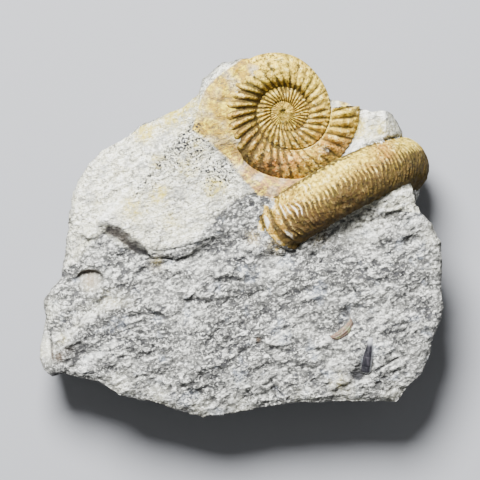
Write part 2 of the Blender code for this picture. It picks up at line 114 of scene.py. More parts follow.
def spots(x, y, marks):  # 0 to 1 near soft round marks, each (px, py, radius in px, strength)
    total = 0.0
    for px, py, radius, strength in marks:
        cx, cy = place(px, py)
        gap = ((x - cx) ** 2 + (y - cy) ** 2) / (radius * scale) ** 2
        if gap < 6:
            total += strength * exp(-gap)
    return clamp01(total)


def alongPath(path, x, y):  # distance, side (+ to the left) and share along a path of points
    best = (1e9, 1.0, 0.0)
    for i in range(len(path) - 1):
        (ax, ay), (bx, by) = path[i], path[i + 1]
        ex, ey = bx - ax, by - ay
        t = clamp01(((x - ax) * ex + (y - ay) * ey) / (ex * ex + ey * ey))
        gap = hypot(x - ax - t * ex, y - ay - t * ey)
        if gap < best[0] - 1e-9:
            side = 1.0 if ex * (y - ay) - ey * (x - ax) > 0 else -1.0
            best = (gap, side, (i + t) / (len(path) - 1))
    return best


# Materials

class Wire:  # one output of a material's node, so that sums on it add Math nodes
    def __init__(self, finish, socket):
        self.finish, self.socket = finish, socket

    def math(self, operation, *values):
        return self.finish.add("ShaderNodeMath", {"operation": operation}, dict(enumerate(values)))

    def __add__(self, other):
        return self.math("ADD", self, other)

    __radd__ = __add__

    def __sub__(self, other):
        return self.math("SUBTRACT", self, other)

    def __rsub__(self, other):
        return self.math("SUBTRACT", other, self)

    def __mul__(self, other):
        return self.math("MULTIPLY", self, other)

    __rmul__ = __mul__

    def __truediv__(self, other):
        return self.math("DIVIDE", self, other)

    def step(self, low, high):  # 0 below low, 1 above high
        inputs = {"Value": self, "From Min": low, "From Max": high}
        return self.finish.add("ShaderNodeMapRange", {"interpolation_type": "SMOOTHSTEP"}, inputs)


stoneGrain = radians(18)  # direction in which the stone's scales are drawn out


class Finish:  # a material that is written as expressions, with its named colours
    def __init__(self, name, roughness, palette):
        self.palette, self.colour = palette, None
        self.material = bpy.data.materials.new(name)
        self.material.use_nodes = True
        self.tree = self.material.node_tree
        self.shader = self.tree.nodes["Principled BSDF"]
        self.shader.inputs["Roughness"].default_value = roughness
        position = self.add("ShaderNodeTexCoord", {}, {}, "Object")
        self.spot = self.vector("SCALE", {0: position, "Scale": 1000.0})  # in mm

    def add(self, kind, settings, inputs, out=0):
        node = self.tree.nodes.new(kind)
        for name, value in settings.items():
            setattr(node, name, value)
        for name, value in inputs.items():
            if isinstance(value, Wire):
                self.tree.links.new(value.socket, node.inputs[name])
            elif node.inputs[name].type == "RGBA":
                node.inputs[name].default_value = (*value, 1.0)
            else:
                node.inputs[name].default_value = value
        return Wire(self, node.outputs[out])

    def vector(self, operation, inputs):
        return self.add("ShaderNodeVectorMath", {"operation": operation}, inputs)

    def mark(self, name):  # a value that the mesh carries
        return self.add("ShaderNodeAttribute", {"attribute_name": name}, {}, "Fac")

    def cloud(self, wavelength, shift=0.0, detail=3.0, rough=0.6, spot=None, **more):
        spot = spot or self.spot
        if shift:
            spot = self.vector("ADD", {0: spot, 1: (shift, shift * 0.6, -shift)})
        inputs = {"Vector": spot, "Scale": 1.0 / wavelength, "Detail": detail, "Roughness": rough}
        return self.add("ShaderNodeTexNoise", {}, {**inputs, **more})

    def weave(self, wavelength, shift):  # a cloud that is drawn out along the stone's grain
        turned = {"Vector": self.spot, "Angle": -stoneGrain}
        spot = self.add("ShaderNodeVectorRotate", {"rotation_type": "Z_AXIS"}, turned)
        spot = self.vector("MULTIPLY", {0: spot, 1: (0.5, 1.0, 0.7)})
        return self.cloud(wavelength, shift, 4.0, 0.65, spot, Distortion=0.6)

    def grains(self, spacing, shift=0.0):  # distance to the nearest of many scattered points
        spot = self.vector("ADD", {0: self.spot, 1: (shift, shift, shift)})
        inputs = {"Vector": spot, "Scale": 1.0 / spacing, "Randomness": 1.0}
        return self.add("ShaderNodeTexVoronoi", {}, inputs, "Distance")

    def blend(self, share, first, second):  # of two colours, or of their names in the palette
        first, second = (self.palette[c] if isinstance(c, str) else c for c in (first, second))
        settings = {"data_type": "RGBA", "blend_type": "MIX"}
        return self.add("ShaderNodeMix", settings, {0: share, 6: first, 7: second}, 2)

    def lay(self, share, colour):  # over the colours that are laid already
        self.colour = self.blend(share, self.colour, colour)

    def bump(self, height, distance):  # distance in mm
        inputs = {"Height": height, "Distance": distance * 0.001, "Strength": 1.0}
        return self.add("ShaderNodeBump", {}, inputs)

    def wear(self, **sockets):
        for name, value in {"Base_Color": self.colour, **sockets}.items():
            target = self.shader.inputs[name.replace("_", " ")]
            if isinstance(value, Wire):
                self.tree.links.new(value.socket, target)
            else:
                target.default_value = value
        return self.material


limestone = {
    "grey": (0.098, 0.098, 0.091),
    "greyLight": (0.31, 0.31, 0.284),
    "pale": (0.8, 0.78, 0.6),
    "bluish": (0.42, 0.47, 0.55),
    "dirtAndShade": (0.028, 0.028, 0.03),
    "darkGrainAndShade": (0.06, 0.06, 0.064),
    "paleGrainAndHighlight": (0.98, 0.98, 0.92),
    "yellow": (0.58, 0.47, 0.07),
    "brown": (0.16, 0.1, 0.055),
    "filmGold": (0.4, 0.255, 0.025),
    "filmPink": (0.48, 0.27, 0.1),
    "filmBrown": (0.15, 0.085, 0.03),
    "filmCream": (0.84, 0.66, 0.06),
    "speck": (0.02, 0.02, 0.025),
}


def limestoneFinish():
    f = Finish("paleLimestone", 0.93, limestone)
    paintedShading, pale, film = f.mark("paintedShading"), f.mark("pale"), f.mark("film")
    grimeAndShade, speck, yellow = f.mark("grimeAndShade"), f.mark("speck"), f.mark("yellow")
    lively = 1 - f.mark("still") * 0.85
    tone = f.cloud(16.0, 0.0, 4.0) * 0.6 + f.weave(5.0, 5.0) * 0.4
    f.colour = f.blend(tone.step(0.44, 0.6), "grey", "greyLight")
    f.lay(f.cloud(7.0, 31.0).step(0.56, 0.68) * 0.45, "bluish")
    # pale stone, with the painted light that the pale mark also carries
    f.lay(pale * 0.88, "pale")
    # thin tan skin round the side-on ammonite, pinker below it
    skin = f.blend(f.mark("blush"), "filmGold", "filmPink")
    skin = f.blend(f.cloud(3.2, 3.0, 4.0, 0.7).step(0.5, 0.62) * 0.55, skin, "filmBrown")
    skin = f.blend(f.cloud(2.2, 53.0, 4.0, 0.75).step(0.5, 0.61) * 0.75, skin, "filmCream")
    f.lay(film, skin)
    # salt and pepper grain: small pits are dark and small crests pale, partly the stone's grain and
    # partly painted tiny shadows and highlights
    pits, dust = f.weave(1.35, 7.0), f.cloud(0.95, 17.0, 3.0, 0.7)
    skinned = 1 - film
    f.lay(pits.step(0.52, 0.63) * (0.62 + pale * 0.18) * skinned * lively, "paleGrainAndHighlight")
    patches = f.cloud(12.0, 61.0, 4.0).step(0.4, 0.6)
    darkGrainAndShade = (1 - pits).step(0.5, 0.61) * (0.95 - pale * 0.14 - film * 0.15)
    f.lay(darkGrainAndShade * (patches * 0.62 + 0.38) * lively, "darkGrainAndShade")
    f.lay(dust.step(0.52, 0.62) * (0.84 - film * 0.2) * (patches * 0.3 + 0.7) * lively, "darkGrainAndShade")
    f.lay((1 - dust).step(0.55, 0.64) * (0.76 + pale * 0.08) * skinned, "paleGrainAndHighlight")
    # painted shade in hollows and on slopes turned away from the key light, and painted highlight on
    # crests and on slopes that face it
    f.lay(paintedShading.step(0.52, 1.0) * 0.76, "dirtAndShade")
    f.lay((1 - paintedShading).step(0.58, 1.0) * (0.5 + pale * 0.16) * skinned, "paleGrainAndHighlight")
    ragged = (f.cloud(1.6, 11.0, 4.0, 0.7) - 0.5) * yellow * 4.0
    f.lay((yellow + ragged).step(0.05, 0.85) * 0.85, "yellow")
    f.lay(f.cloud(5.0, 81.0, 5.0, 0.7).step(0.5, 0.6) * pale * (1 - film) * 0.62, "greyLight")
    # black specks on the plate, large and small
    size = speck * f.cloud(2.5, 71.0, 2.0, 0.5) * 0.8 + 0.01
    dots = 1 - (f.grains(1.15) / size).step(0.7, 1.1)
    dots = dots + (1 - (f.grains(0.75, 9.0) / (speck * 0.42 + 0.03)).step(0.7, 1.1)) * 0.8
    f.lay(dots * 0.9, "speck")
    # dirt and brown stains, with painted shade on the ledge's face, under its lip, under the cup's
    # upper rim, at the feet of steps and in cracks
    f.lay(grimeAndShade * 0.92, f.blend(f.mark("rust"), "dirtAndShade", "brown"))
    grain = pits * 1.2 - dust * 0.5 + f.weave(3.4, 19.0) * 0.8
    return f.wear(
        Roughness=(0.97 - film * 0.3),
        Normal=f.bump(grain * (1 - film * 0.5) * lively, 1.5),
        Specular_IOR_Level=0.2,
    )


fossil = {
    "gold": (0.3, 0.17, 0.02),
    "goldLight": (0.56, 0.36, 0.045),
    "cream": (0.9, 0.69, 0.08),
    "paleFleckAndSheen": (0.9, 0.78, 0.32),
    "olive": (0.1, 0.07, 0.015),
    "rustDark": (0.28, 0.09, 0.015),
    "rustLight": (0.52, 0.24, 0.05),
    "shadeAndPitDark": (0.013, 0.01, 0.005),
    "shadeBrown": (0.056, 0.033, 0.012),
    "chalk": (0.8, 0.77, 0.68),
}


def fossilFinish():
    f = Finish("goldenFossil", 0.5, fossil)
    shellShadeAndDirt, rust, chalk = f.mark("shellShadeAndDirt"), f.mark("rust"), f.mark("chalk")
    f.colour = f.blend(f.cloud(5.5, 0.0, 4.0).step(0.38, 0.64), "gold", "goldLight")
    # cream patches, partly the shell's colour and partly painted light on its lit upper sides
    f.lay(f.mark("cream") * 0.75, "cream")
    f.lay(f.cloud(1.4, 13.0, 4.0, 0.75).step(0.5, 0.62) * 0.7, "cream")
    f.lay(rust, f.blend(f.cloud(2.4, 5.0).step(0.35, 0.65), "rustDark", "rustLight"))
    # painted shade with dirt: the first mark darkens rib grooves, the seams between whorls and the
    # standing shell's lower flank, along with dirt spots, chips and specks
    dark = f.blend(f.cloud(3.0, 23.0, 2.0, 0.5).step(0.4, 0.6), "shadeAndPitDark", "shadeBrown")
    depth = (shellShadeAndDirt + (f.cloud(1.3, 9.0) - 0.5) * 0.75).step(0.38, 0.9)
    f.lay(depth * 0.92, dark)
    # small crests get pale flecks, partly worn shell and partly painted sheen, and small pits stay dark
    skin = f.cloud(1.7, 2.0, 4.0, 0.7)
    f.lay(skin.step(0.53, 0.64) * (0.68 - depth * 0.62), "paleFleckAndSheen")
    f.lay((1 - skin).step(0.51, 0.61) * 0.72, "olive")
    pits = 1 - (f.grains(0.95, 4.0) / 0.3).step(0.6, 1.3)
    f.lay(pits * f.cloud(4.0, 40.0, 2.0, 0.5).step(0.36, 0.58) * 0.85, "shadeAndPitDark")
    powder = (chalk + (f.cloud(1.6, 27.0, 4.0, 0.7) - 0.5) * 1.3).step(0.45, 0.8)
    f.lay(powder * 0.72, "chalk")
    grain = skin * 1.2 + f.cloud(3.0, 15.0)
    shine = f.cloud(3.0, 33.0).step(0.35, 0.7) * 0.25 + 0.42 + powder * 0.3
    return f.wear(
        Roughness=(shine + depth * 0.3),
        Normal=f.bump(grain, 0.9),
        Specular_IOR_Level=0.18,
    )


calcite = {
    "dark": (0.006, 0.006, 0.009),
    "light": (0.032, 0.029, 0.036),
    "chalk": (0.5, 0.51, 0.53),
}


def belemniteFinish():
    f = Finish("darkCalcite", 0.4, calcite)
    drawnOut = f.vector("MULTIPLY", {0: f.spot, 1: (1.0, 0.18, 1.0)})
    streak = f.cloud(0.9, 0.0, 4.0, 0.65, drawnOut)
    f.colour = f.blend(streak.step(0.4, 0.7), "dark", "light")
    f.lay(f.mark("chalk"), "chalk")
    return f.wear(
        Roughness=(0.32 + f.cloud(1.5, 8.0) * 0.35),
        Normal=f.bump(streak + f.cloud(0.5), 0.12),
        Specular_IOR_Level=0.3,
    )


crescent = {
    "face": (0.13, 0.072, 0.042),
    "edge": (0.025, 0.012, 0.007),
    "green": (0.1, 0.12, 0.05),
    "cream": (0.5, 0.36, 0.26),
}


def shellFinish():
    f = Finish("brownShell", 0.45, crescent)
    # the dark edge colour, where the mark is high, is painted shade along one side
    f.colour = f.blend(f.mark("shellShadeAndDirt"), "face", "edge")
    f.lay(f.cloud(1.6).step(0.52, 0.62) * 0.8, "green")
    f.lay(f.cloud(1.0, 6.0).step(0.56, 0.68) * 0.3, "cream")
    return f.wear(
        Roughness=(0.3 + f.cloud(1.2, 12.0) * 0.4),
        Normal=f.bump(f.cloud(0.6, 1.0, 4.0, 0.7), 0.15),
    )


finishes = {
    "limestone": limestoneFinish(),
    "golden_fossil": fossilFinish(),
    "dark_calcite": belemniteFinish(),
    "brown_shell": shellFinish(),
}
print("finishes made:", ", ".join(finishes))


# The side-on ammonite's spiral, which the stone round it follows too
coil = {
    "centre": place(284.5, 112.5),
    # outer edge in pixels, every eighth of a turn from its first whorl to its mouth
    "edgePixels": [
        9.0, 10.0, 11.4, 12.6, 13.6, 15.4, 18.2, 21.9,
        24.4, 24.8, 25.8, 27.0, 27.8, 30.4, 36.0, 43.6,
        46.3, 49.4, 58.9, 65.0, 66.5, 64.5, 66.7, 71.5,
        75.5, 77.0,
    ],
    "mouthTurn": 2.0139,
    "midLevel": 43.5,
    "lean": 0.24,
    "whorlShare": 0.25,
    "sink": 1.1,  # mm that the inner whorls lie deeper
    "stations": 720,  # per turn
    "columns": 26,  # across a whorl
    "ribShare": 0.036,
    "ribLean": 0.22,  # how far the ribs bend forward, as a slope
    # soft marks on the surface: pixel, radius in pixels and strength
    "wear": [(258, 152, 20, 0.4), (284, 170, 18, 0.35), (312, 152, 13, 0.3), (238, 74, 14, 0.6)],
    "rust": [
        (276, 165, 16, 0.9), (250, 142, 10, 0.55), (295, 160, 10, 0.65), (325, 145, 13, 0.6),
        (300, 66, 8, 0.2), (236, 122, 9, 0.5), (262, 172, 13, 0.6), (345, 148, 12, 0.7),
        (240, 95, 8, 0.3),
    ],
    "chalk": [
        (325, 150, 8, 0.55), (236, 92, 5, 0.6), (335, 108, 8, 0.3), (284, 116, 6, 0.45),
        (268, 150, 6, 0.3), (318, 78, 12, 0.15), (245, 128, 6, 0.35), (300, 168, 9, 0.35),
    ],
    # cream patches, which along the top whorl and at the mouth also paint its highlight
    "cream": [
        (250, 70, 24, 0.6), (290, 60, 20, 0.6), (318, 80, 18, 0.6), (340, 108, 12, 0.7),
        (222, 95, 12, 0.7), (284, 116, 9, 0.5), (335, 130, 10, 0.3),
    ],
    # dark spots: dirt, and painted shade in the centre pit and along whorl edges
    "dirtAndShade": [
        (224, 127, 4, 0.5), (328, 153, 5, 0.6), (262, 176, 10, 0.35), (240, 158, 9, 0.5),
        (283, 110, 3, 0.8), (256, 92, 5, 0.3),
    ],
}

coilX, coilY = coil["centre"]


def coilEdge(turn):  # radius of the outer edge in mm, growing anticlockwise, whole turns to +X
    pixels = coil["edgePixels"]
    position = min(max((turn + 1.0) * 8.0, 0.0), len(pixels) - 1.001)  # in eighths of a turn
    i = int(position)
    t = position - i
    a, b, c, d = (pixels[min(max(i + k, 0), len(pixels) - 1)] for k in (-1, 0, 1, 2))
    curve = t * (2 * a - 5 * b + 4 * c - d + t * (3 * (b - c) + d - a))
    return scale * (b + 0.5 * t * (c - a + curve))


def coilSpot(turn, radius):  # a place on the spiral, and its offset from the centre
    dx, dy = radius * cos(tau * turn), radius * sin(tau * turn)
    return coilX + dx, coilY + dy, dx, dy


def coilLean(dx, dy):
    return coil["lean"] * (dy - dx) / sqrt(2)


def coilLap(turn):  # share of the outer whorl's edge that stone still covers
    return between(0.25, 0.36, 0.56, 0.66, turn - 1.0)


def edgeSwell(turn):
    share = mix(0.5, 0.08, smooth(1.0, 1.15, turn))
    share = mix(share, 0.5, coilLap(turn))
    return share * coil["whorlShare"] * coilEdge(turn)


def whorlSwell(across, lap=0.0):  # gentler at its outer side where stone laps onto it
    top = 0.45
    if across < top:
        return sin(pi / 2 * across / top) ** 0.72
    return max(0.0, cos(pi / 2 * (across - top) / (1 - top))) ** mix(0.5, 1.5, lap)


def coilHeight(turn, across, crown=1.0):  # above the coil's leaning middle plane
    innerLevel = edgeSwell(turn - 1) if turn >= 0 else 0.2
    base = mix(innerLevel, edgeSwell(turn), across)
    atSeam = fall(1.6, 1.95, turn) * fall(0.0, 0.2, across) * (turn > 1)
    sunk = coil["sink"] * clamp01(fall(0.65, 1.0, turn) + atSeam)
    swell = whorlSwell(across, coilLap(turn))
    return base + (coil["whorlShare"] * coilEdge(turn) - base) * swell * crown - sunk


def frameShift():  # from these coordinates to the frame, read off the CAD coil's left and top edges
    low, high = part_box("ammonite_side")
    edge = []
    for i in range(146, 218):  # its last turn, in 72 stations with ribs
        turn = i / 72 - 1
        edge.append(coilSpot(turn, coilEdge(turn) * (1.008 if i % 2 == 0 else 0.992)))
    return low.x * 1000 - min(p[0] for p in edge), high.y * 1000 - max(p[1] for p in edge)


shiftX, shiftY = frameShift()
print("frame shift in mm: %.3f %.3f" % (shiftX, shiftY))


def inFrame(x, y, z):  # mm of these coordinates to metres of the frame
    return (x + shiftX) / 1000, (y + shiftY) / 1000, z / 1000


class Shape:  # points in mm with their marks, and the faces between them
    def __init__(self, *markNames):
        self.markNames = markNames
        self.points, self.marks, self.faces = [], [], []

    def add(self, point, *marks):
        self.points.append(tuple(point))
        self.marks.append(marks)
        return len(self.points) - 1

    def tube(self, rings, flip=False):  # a closed skin over rings of points
        faces = []
        for near, far in zip(rings, rings[1:]):
            faces.extend(zip(near, near[1:] + near[:1], far[1:] + far[:1], far))
        faces += [tuple(rings[0][::-1]), tuple(rings[-1])]
        self.faces += [face[::-1] for face in faces] if flip else faces

    def make(self, name, finish, node):
        mesh = bpy.data.meshes.new(name)
        mesh.from_pydata([inFrame(*point) for point in self.points], [], self.faces)
        for mark, values in zip(self.markNames, zip(*self.marks)):
            layer = mesh.attributes.new(mark, "FLOAT", "POINT")
            layer.data.foreach_set("value", np.array(values, np.float32))
        mesh.shade_smooth()
        mesh.materials.append(finishes[finish])
        piece = bpy.data.objects.new(name, mesh)
        bpy.context.scene.collection.objects.link(piece)
        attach(piece, "root")
        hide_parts(node)
        triangles = sum(len(face) - 2 for face in self.faces)
        print(name, len(self.points), "points,", triangles, "triangles")


# marks of the shells: painted shade with dirt, rust, chalk, and cream patches that also carry some
# painted light
shellMarks = ("shellShadeAndDirt", "rust", "chalk", "cream")


def ribWave(phase, broad):  # 1 on a broad crest, -1 in a narrow groove
    phase += 0.07 * sin(tau * phase)
    return 2 * (0.5 + 0.5 * cos(tau * phase)) ** broad - 1


# The ammonite that stands on edge
wheel = {
    "radius": 36.0,
    "halfWidth": 9.4,
    "crown": 9.5,
    "depth": 19.0,
    "centreLevel": 23.0,
    "tip": radians(8),
    "direction": (0.872, 0.489),
    "mark": place(342.6, 182.8),
    "along": -5.2,
    "aside": -4.9,
    "from": -20.0,
    "to": 152.0,
    "stations": 960,
    "columns": 54,
    "ribHeight": 0.17,  # on the outer edge
    "flankRib": 0.13,  # more on the flanks
    "endRib": 0.4,  # more at the end in the block
    # strength of the painted shade on the lower flank
    "lowerFlankShade": 0.88,
    "rust": [
        (300, 224, 18, 0.7), (322, 222, 16, 0.8), (278, 234, 14, 0.45), (388, 158, 12, 0.6),
        (352, 192, 14, 0.6), (372, 178, 12, 0.6), (380, 146, 8, 0.5), (345, 208, 12, 0.7),
    ],
    "chalk": [
        (297, 208, 7, 0.75), (306, 188, 9, 0.75), (326, 176, 9, 0.55), (288, 238, 7, 0.8),
        (268, 220, 6, 0.9), (264, 236, 7, 0.8), (274, 247, 8, 0.7), (284, 222, 17, 0.42),
        (262, 225, 5, 1.0), (300, 212, 12, 0.25), (283, 210, 6, 0.95), (274, 205, 6, 0.9),
        (345, 163, 8, 0.4),
    ],
    "cream": [
        (330, 165, 16, 0.6), (360, 150, 14, 0.5), (310, 182, 14, 0.6), (408, 140, 14, 0.9),
        (345, 165, 12, 0.4),
    ],
    "chips": [(343, 206, 5.0, 1.0), (352, 203, 4.0, 0.8)],
    "freeFrom": place(300, 0)[0],  # right of this the stone never covers it
    # grey stone that still covers the end in the block
    "stoneLaps": [(272, 204, 5, 0.8), (268, 248, 8, 1.0), (284, 253, 7, 0.9), (257, 238, 9, 1.0)],
    "bareFrom": place(385, 0)[0],  # right of this the stone stays low beside it too
}


def ribPitch(degrees):  # degrees from one main rib to the next
    return 5.9 + 2.7 * smooth(112, 135, degrees) + 1.6 * fall(5, 45, degrees)


ribSteps = 10  # per degree
wheelRibs = [0.0]
for step in range(1, int((wheel["to"] - wheel["from"]) * ribSteps) + 1):
    wheelRibs.append(wheelRibs[-1] + 0.1 / ribPitch(wheel["from"] + step / ribSteps))


wheelAlong = Vector((*wheel["direction"], 0)).normalized()
wheelAside = Vector((-wheelAlong.y, wheelAlong.x, 0))


def wheelPoint(base, outwards, turn, degrees, ribs, k):  # a point of the ribbed side, and its marks
    end = smooth(112, 132, degrees)
    # ribs bow forward over the outer edge, and split in two on the flank
    phase = ribs + 0.3 * cos(turn) ** 2 + 0.3 * lump(degrees, k * 1.4, 0, 11.0, 5.0)
    split = fall(0.95, 1.25, abs(turn)) * (1 - end)
    rib = mix(ribWave(phase, 0.6), ribWave(2 * phase + 0.5, 0.9), split)
    flank = smooth(0.2, 0.9, abs(sin(turn)))
    chip = spots(base.x, base.y, wheel["chips"]) * smooth(0.1, 0.5, turn)
    worn = (0.34 + 0.55 * smooth(-0.3, 0.5, -turn)) * (1 - end) * (1 - 0.5 * smooth(0.5, 0.9, turn))
    height = (wheel["ribHeight"] + wheel["flankRib"] * flank + wheel["endRib"] * end) * (1 - worn)
    height *= clamp01(0.6 + 1.3 * lump(*base, 5.0, 8.0))
    rise = height * rib * (1 - chip) + 0.16 * crumb(*base, 1.7, 6.0)
    rise += 0.26 * lump(*base, 4.0, 2.5) - 0.9 * chip
    upperLine = smooth(0.8, 1.15, -turn) * clamp01(0.7 + 1.2 * lump(*base, 1.4, 1.0))
    # painted shade on the lower flank, darkest under the free end
    lowerFlankShade = wheel["lowerFlankShade"] * smooth(-0.35, 0.6, turn) * (0.8 + 0.5 * lump(*base, 7.0, 4.0))
    lowerFlankShade += 0.3 * smooth(0.8, 1.3, turn) + 1.4 * fall(14, 48, degrees) * smooth(-0.2, 0.5, turn)
    # painted shade in the rib grooves and on the lower flank, with dark chips and a dark line along the
    # upper edge
    shellShadeAndDirt = 0.38 - (0.36 + 0.22 * end) * (1 - 0.6 * worn) * rib
    shellShadeAndDirt += 0.5 * chip + 0.8 * upperLine + lowerFlankShade
    if abs(turn) < 1.0:
        shellShadeAndDirt += 0.28 * max(0.0, crumb(*base, 1.3, 11.0) - 0.15)
    return base + outwards * rise, (
        clamp01(shellShadeAndDirt),
        spots(base.x, base.y, wheel["rust"]) * (0.8 - 0.35 * rib),
        spots(base.x, base.y, wheel["chalk"]) * (0.45 + 0.6 * rib),
        # cream patches only on the upper flank, partly the shell's colour and partly painted light
        # where the light falls
        spots(base.x, base.y, wheel["cream"]) * smooth(-0.5, 0.3, -turn + 0.2),
    )


def wheelGrid():  # rings of points of the sector that shows, each with its marks
    up = Vector((0, 0, 1)) * cos(wheel["tip"]) + wheelAside * sin(wheel["tip"])
    side = wheelAlong.cross(up)
    centre = Vector((*wheel["mark"], wheel["centreLevel"]))
    centre = centre + wheelAlong * wheel["along"] + wheelAside * wheel["aside"]
    radius, crown, columns = wheel["radius"], wheel["crown"], wheel["columns"]
    rows = []
    for i in range(wheel["stations"] + 1):
        degrees = mix(wheel["from"], wheel["to"], i / wheel["stations"])
        ribs = wheelRibs[min(len(wheelRibs) - 1, int((degrees - wheel["from"]) * ribSteps))]
        ribs += (degrees * ribSteps % 1) * 0.1 / ribPitch(degrees)
        outward = wheelAlong * cos(radians(degrees)) + up * sin(radians(degrees))
        row = []
        for k in range(-1, columns + 2):
            if not 0 <= k <= columns:  # the buried inner corners
                sideways = copysign(wheel["halfWidth"] - 1.0, k - columns / 2)
                spot = centre + side * sideways + outward * (radius - wheel["depth"])
                row.append((spot, (0.5, 0.0, 0.0, 0.0)))
                continue
            turn = pi * (k / columns - 0.5)  # - on the upper flank, + on the lower one
            sideways = wheel["halfWidth"] * sin(turn)
            distance = radius - crown + crown * cos(turn) ** 0.85
            outwards = (side * sideways + outward * (distance - radius + crown)).normalized()
            base = centre + side * sideways + outward * distance
            row.append(wheelPoint(base, outwards, turn, degrees, ribs, k))
        rows.append(row)
    return rows


def wheelCrest(x, y):  # the shell's height beside a point, and how far that lies to its upper side
    spot = Vector((x, y, 0)) - Vector((*wheel["mark"], 0))
    spot = spot - wheelAlong * wheel["along"] - wheelAside * wheel["aside"]
    reach = min(abs(spot.dot(wheelAlong)), wheel["radius"])
    beside = spot.dot(wheelAside) - wheel["halfWidth"] + 1.0 if spot.dot(wheelAlong) > 0 else -1.0
    return wheel["centreLevel"] + sqrt(wheel["radius"] ** 2 - reach ** 2), beside


def squareAt(x, y):  # half a millimetre wide
    return round(x * 2), round(y * 2)


wheelRows = wheelGrid()
topMap = {}  # highest level of the standing shell in each square
for row in wheelRows:
    outer = [tuple(point) for point, _ in row[1:-1]]
    for near, far in zip(outer, outer[1:]):
        for t in (0.0, 0.25, 0.5, 0.75):
            x, y, z = (mix(a, b, t) for a, b in zip(near, far))
            topMap[squareAt(x, y)] = max(z, topMap.get(squareAt(x, y), -1.0))


def buildWheel():
    shape = Shape(*shellMarks)
    rings = [[shape.add(point, *marks) for point, marks in row] for row in wheelRows]
    shape.tube(rings, flip=True)
    shape.make("standingShell", "golden_fossil", "ammonite_edge")


buildWheel()


# The block of stone
stone = {
    "faceCells": 248,
    "sideRings": 27,
    "baseRings": 7,
    "faceLevel": 42.0,
    "ledgeHeight": 3.0,
    "plateLevel": 46.3,
    "leftSlope": 0.34,
    "faceSlope": 0.1,  # up to the top edge
    "leftFall": (-44, 0.3),  # where it starts, and its slope
    "rightFall": (50, 0.26),
    "lowFall": (-34, 0.0035),  # where it starts, and its bend
    "roughness": 0.95,
    "topInset": 0.15,
    "rimRound": 3.6,  # mm over which the face rolls over at its rim
    "rimDrop": 1.5,
    "widestLevel": 27.0,
    "rimSteps": 2880,  # of the table of its outline
    "shoulder": place(382, 122),  # behind the standing shell's free end
    "shoulderLevel": 44.5,
    "heel": place(424, 168),  # low bulge that carries the block under that end
    "cup": place(90, 279),
    "cupRadius": 5.3,
    "cupDepth": 2.0,
    "skinThickness": 0.6,
    "underCut": 1.1,  # under the ledge
    "ridgeHeight": 1.7,
    "imprint": [(275, 243, 11, 1.0)],  # of ribs, below the standing shell's end
    "imprintPitch": 2.9,
    "beds": [
        (370, 345, 9, 0.1), (368, 355, 9, 0.2), (367, 366, 9, 0.3), (358, 375, 8, 1.3),
        (336, 335, 8, 0.1), (343, 329, 9, 0.3), (349, 323, 7, 0.2),
    ],
    # pale stone on the cup, on the shoulder behind the standing shell's end, by the coiled shell's
    # mouth and at the left corner, and painted light below the standing shell, where its shadow falls,
    # and along the rim
    "paleAndLitSpots": [
        (90, 281, 9, 0.45), (362, 214, 22, 0.45), (396, 200, 14, 0.4), (372, 120, 26, 1.0),
        (345, 103, 12, 0.8), (48, 312, 12, 0.6), (44, 350, 10, 0.9), (434, 236, 14, 0.4),
        (120, 386, 12, 0.5), (160, 400, 14, 0.5), (200, 414, 12, 0.5), (240, 410, 12, 0.4),
        (300, 400, 12, 0.3), (350, 399, 12, 0.4), (395, 396, 10, 0.4), (436, 268, 8, 0.4),
    ],
    "speckSpots": [
        (205, 155, 26, 0.45), (215, 185, 20, 0.5), (228, 170, 12, 0.5), (175, 165, 20, 0.4),
        (192, 142, 14, 0.6), (180, 205, 26, 0.18), (205, 225, 22, 0.15), (150, 188, 10, 0.3),
    ],
    "yellowSpots": [
        (143, 133, 11, 0.8), (160, 194, 10, 0.7), (216, 188, 11, 0.8), (158, 161, 7, 0.8),
        (170, 116, 18, 0.6), (192, 104, 16, 0.5), (134, 208, 16, 0.5), (188, 168, 18, 0.35),
        (356, 128, 12, 0.9), (156, 262, 7, 0.2), (340, 382, 14, 0.25), (62, 340, 8, 0.3),
        (172, 222, 14, 0.35), (200, 145, 12, 0.3), (120, 170, 12, 0.2), (98, 200, 10, 0.2),
        (110, 300, 14, 0.2), (380, 128, 10, 0.6),
    ],
    "blushSpots": [(262, 184, 26, 1.0), (238, 165, 12, 0.6), (300, 176, 20, 1.0)],
    "filmSpots": [
        (90, 284, 7, 0.2), (157, 262, 7, 0.35), (344, 104, 9, 1.0), (254, 238, 7, 0.5),
        (276, 244, 9, 0.4), (318, 236, 8, 0.35),
    ],
    # dirt and stains, with painted shade under the standing shell's free end, in the belemnite's pit,
    # in the cup and beside the shell crescent
    "grimeAndShadeSpots": [
        (90, 279, 9, 0.72), (398, 185, 6, 0.8), (388, 190, 5, 0.6), (407, 179, 5, 0.8),
        (214, 133, 4, 0.45), (222, 144, 4, 0.5), (208, 123, 3, 0.4), (246, 155, 5, 0.45),
        (256, 168, 5, 0.35), (58, 357, 5, 0.6), (354, 374, 5, 1.0), (359, 377, 5, 0.8),
        (53, 375, 5, 1.0), (258, 340, 2.5, 0.7), (331, 345, 4, 0.6),
    ],
    "brownSpots": [
        (90, 280, 9, 0.9), (218, 138, 14, 0.8), (118, 240, 18, 0.15), (58, 357, 8, 1.0),
        (258, 340, 4, 1.0), (66, 350, 8, 0.6),
    ],
    # grey patches, partly the stone's tone and partly painted shade on faces that slope away from the
    # light
    "greyAndShadeSpots": [(412, 285, 26, 0.6), (228, 216, 16, 0.4), (198, 325, 22, 0.5), (170, 300, 20, 0.3)],
}
def trace(*pixels):
    return [place(px, py) for px, py in pixels]


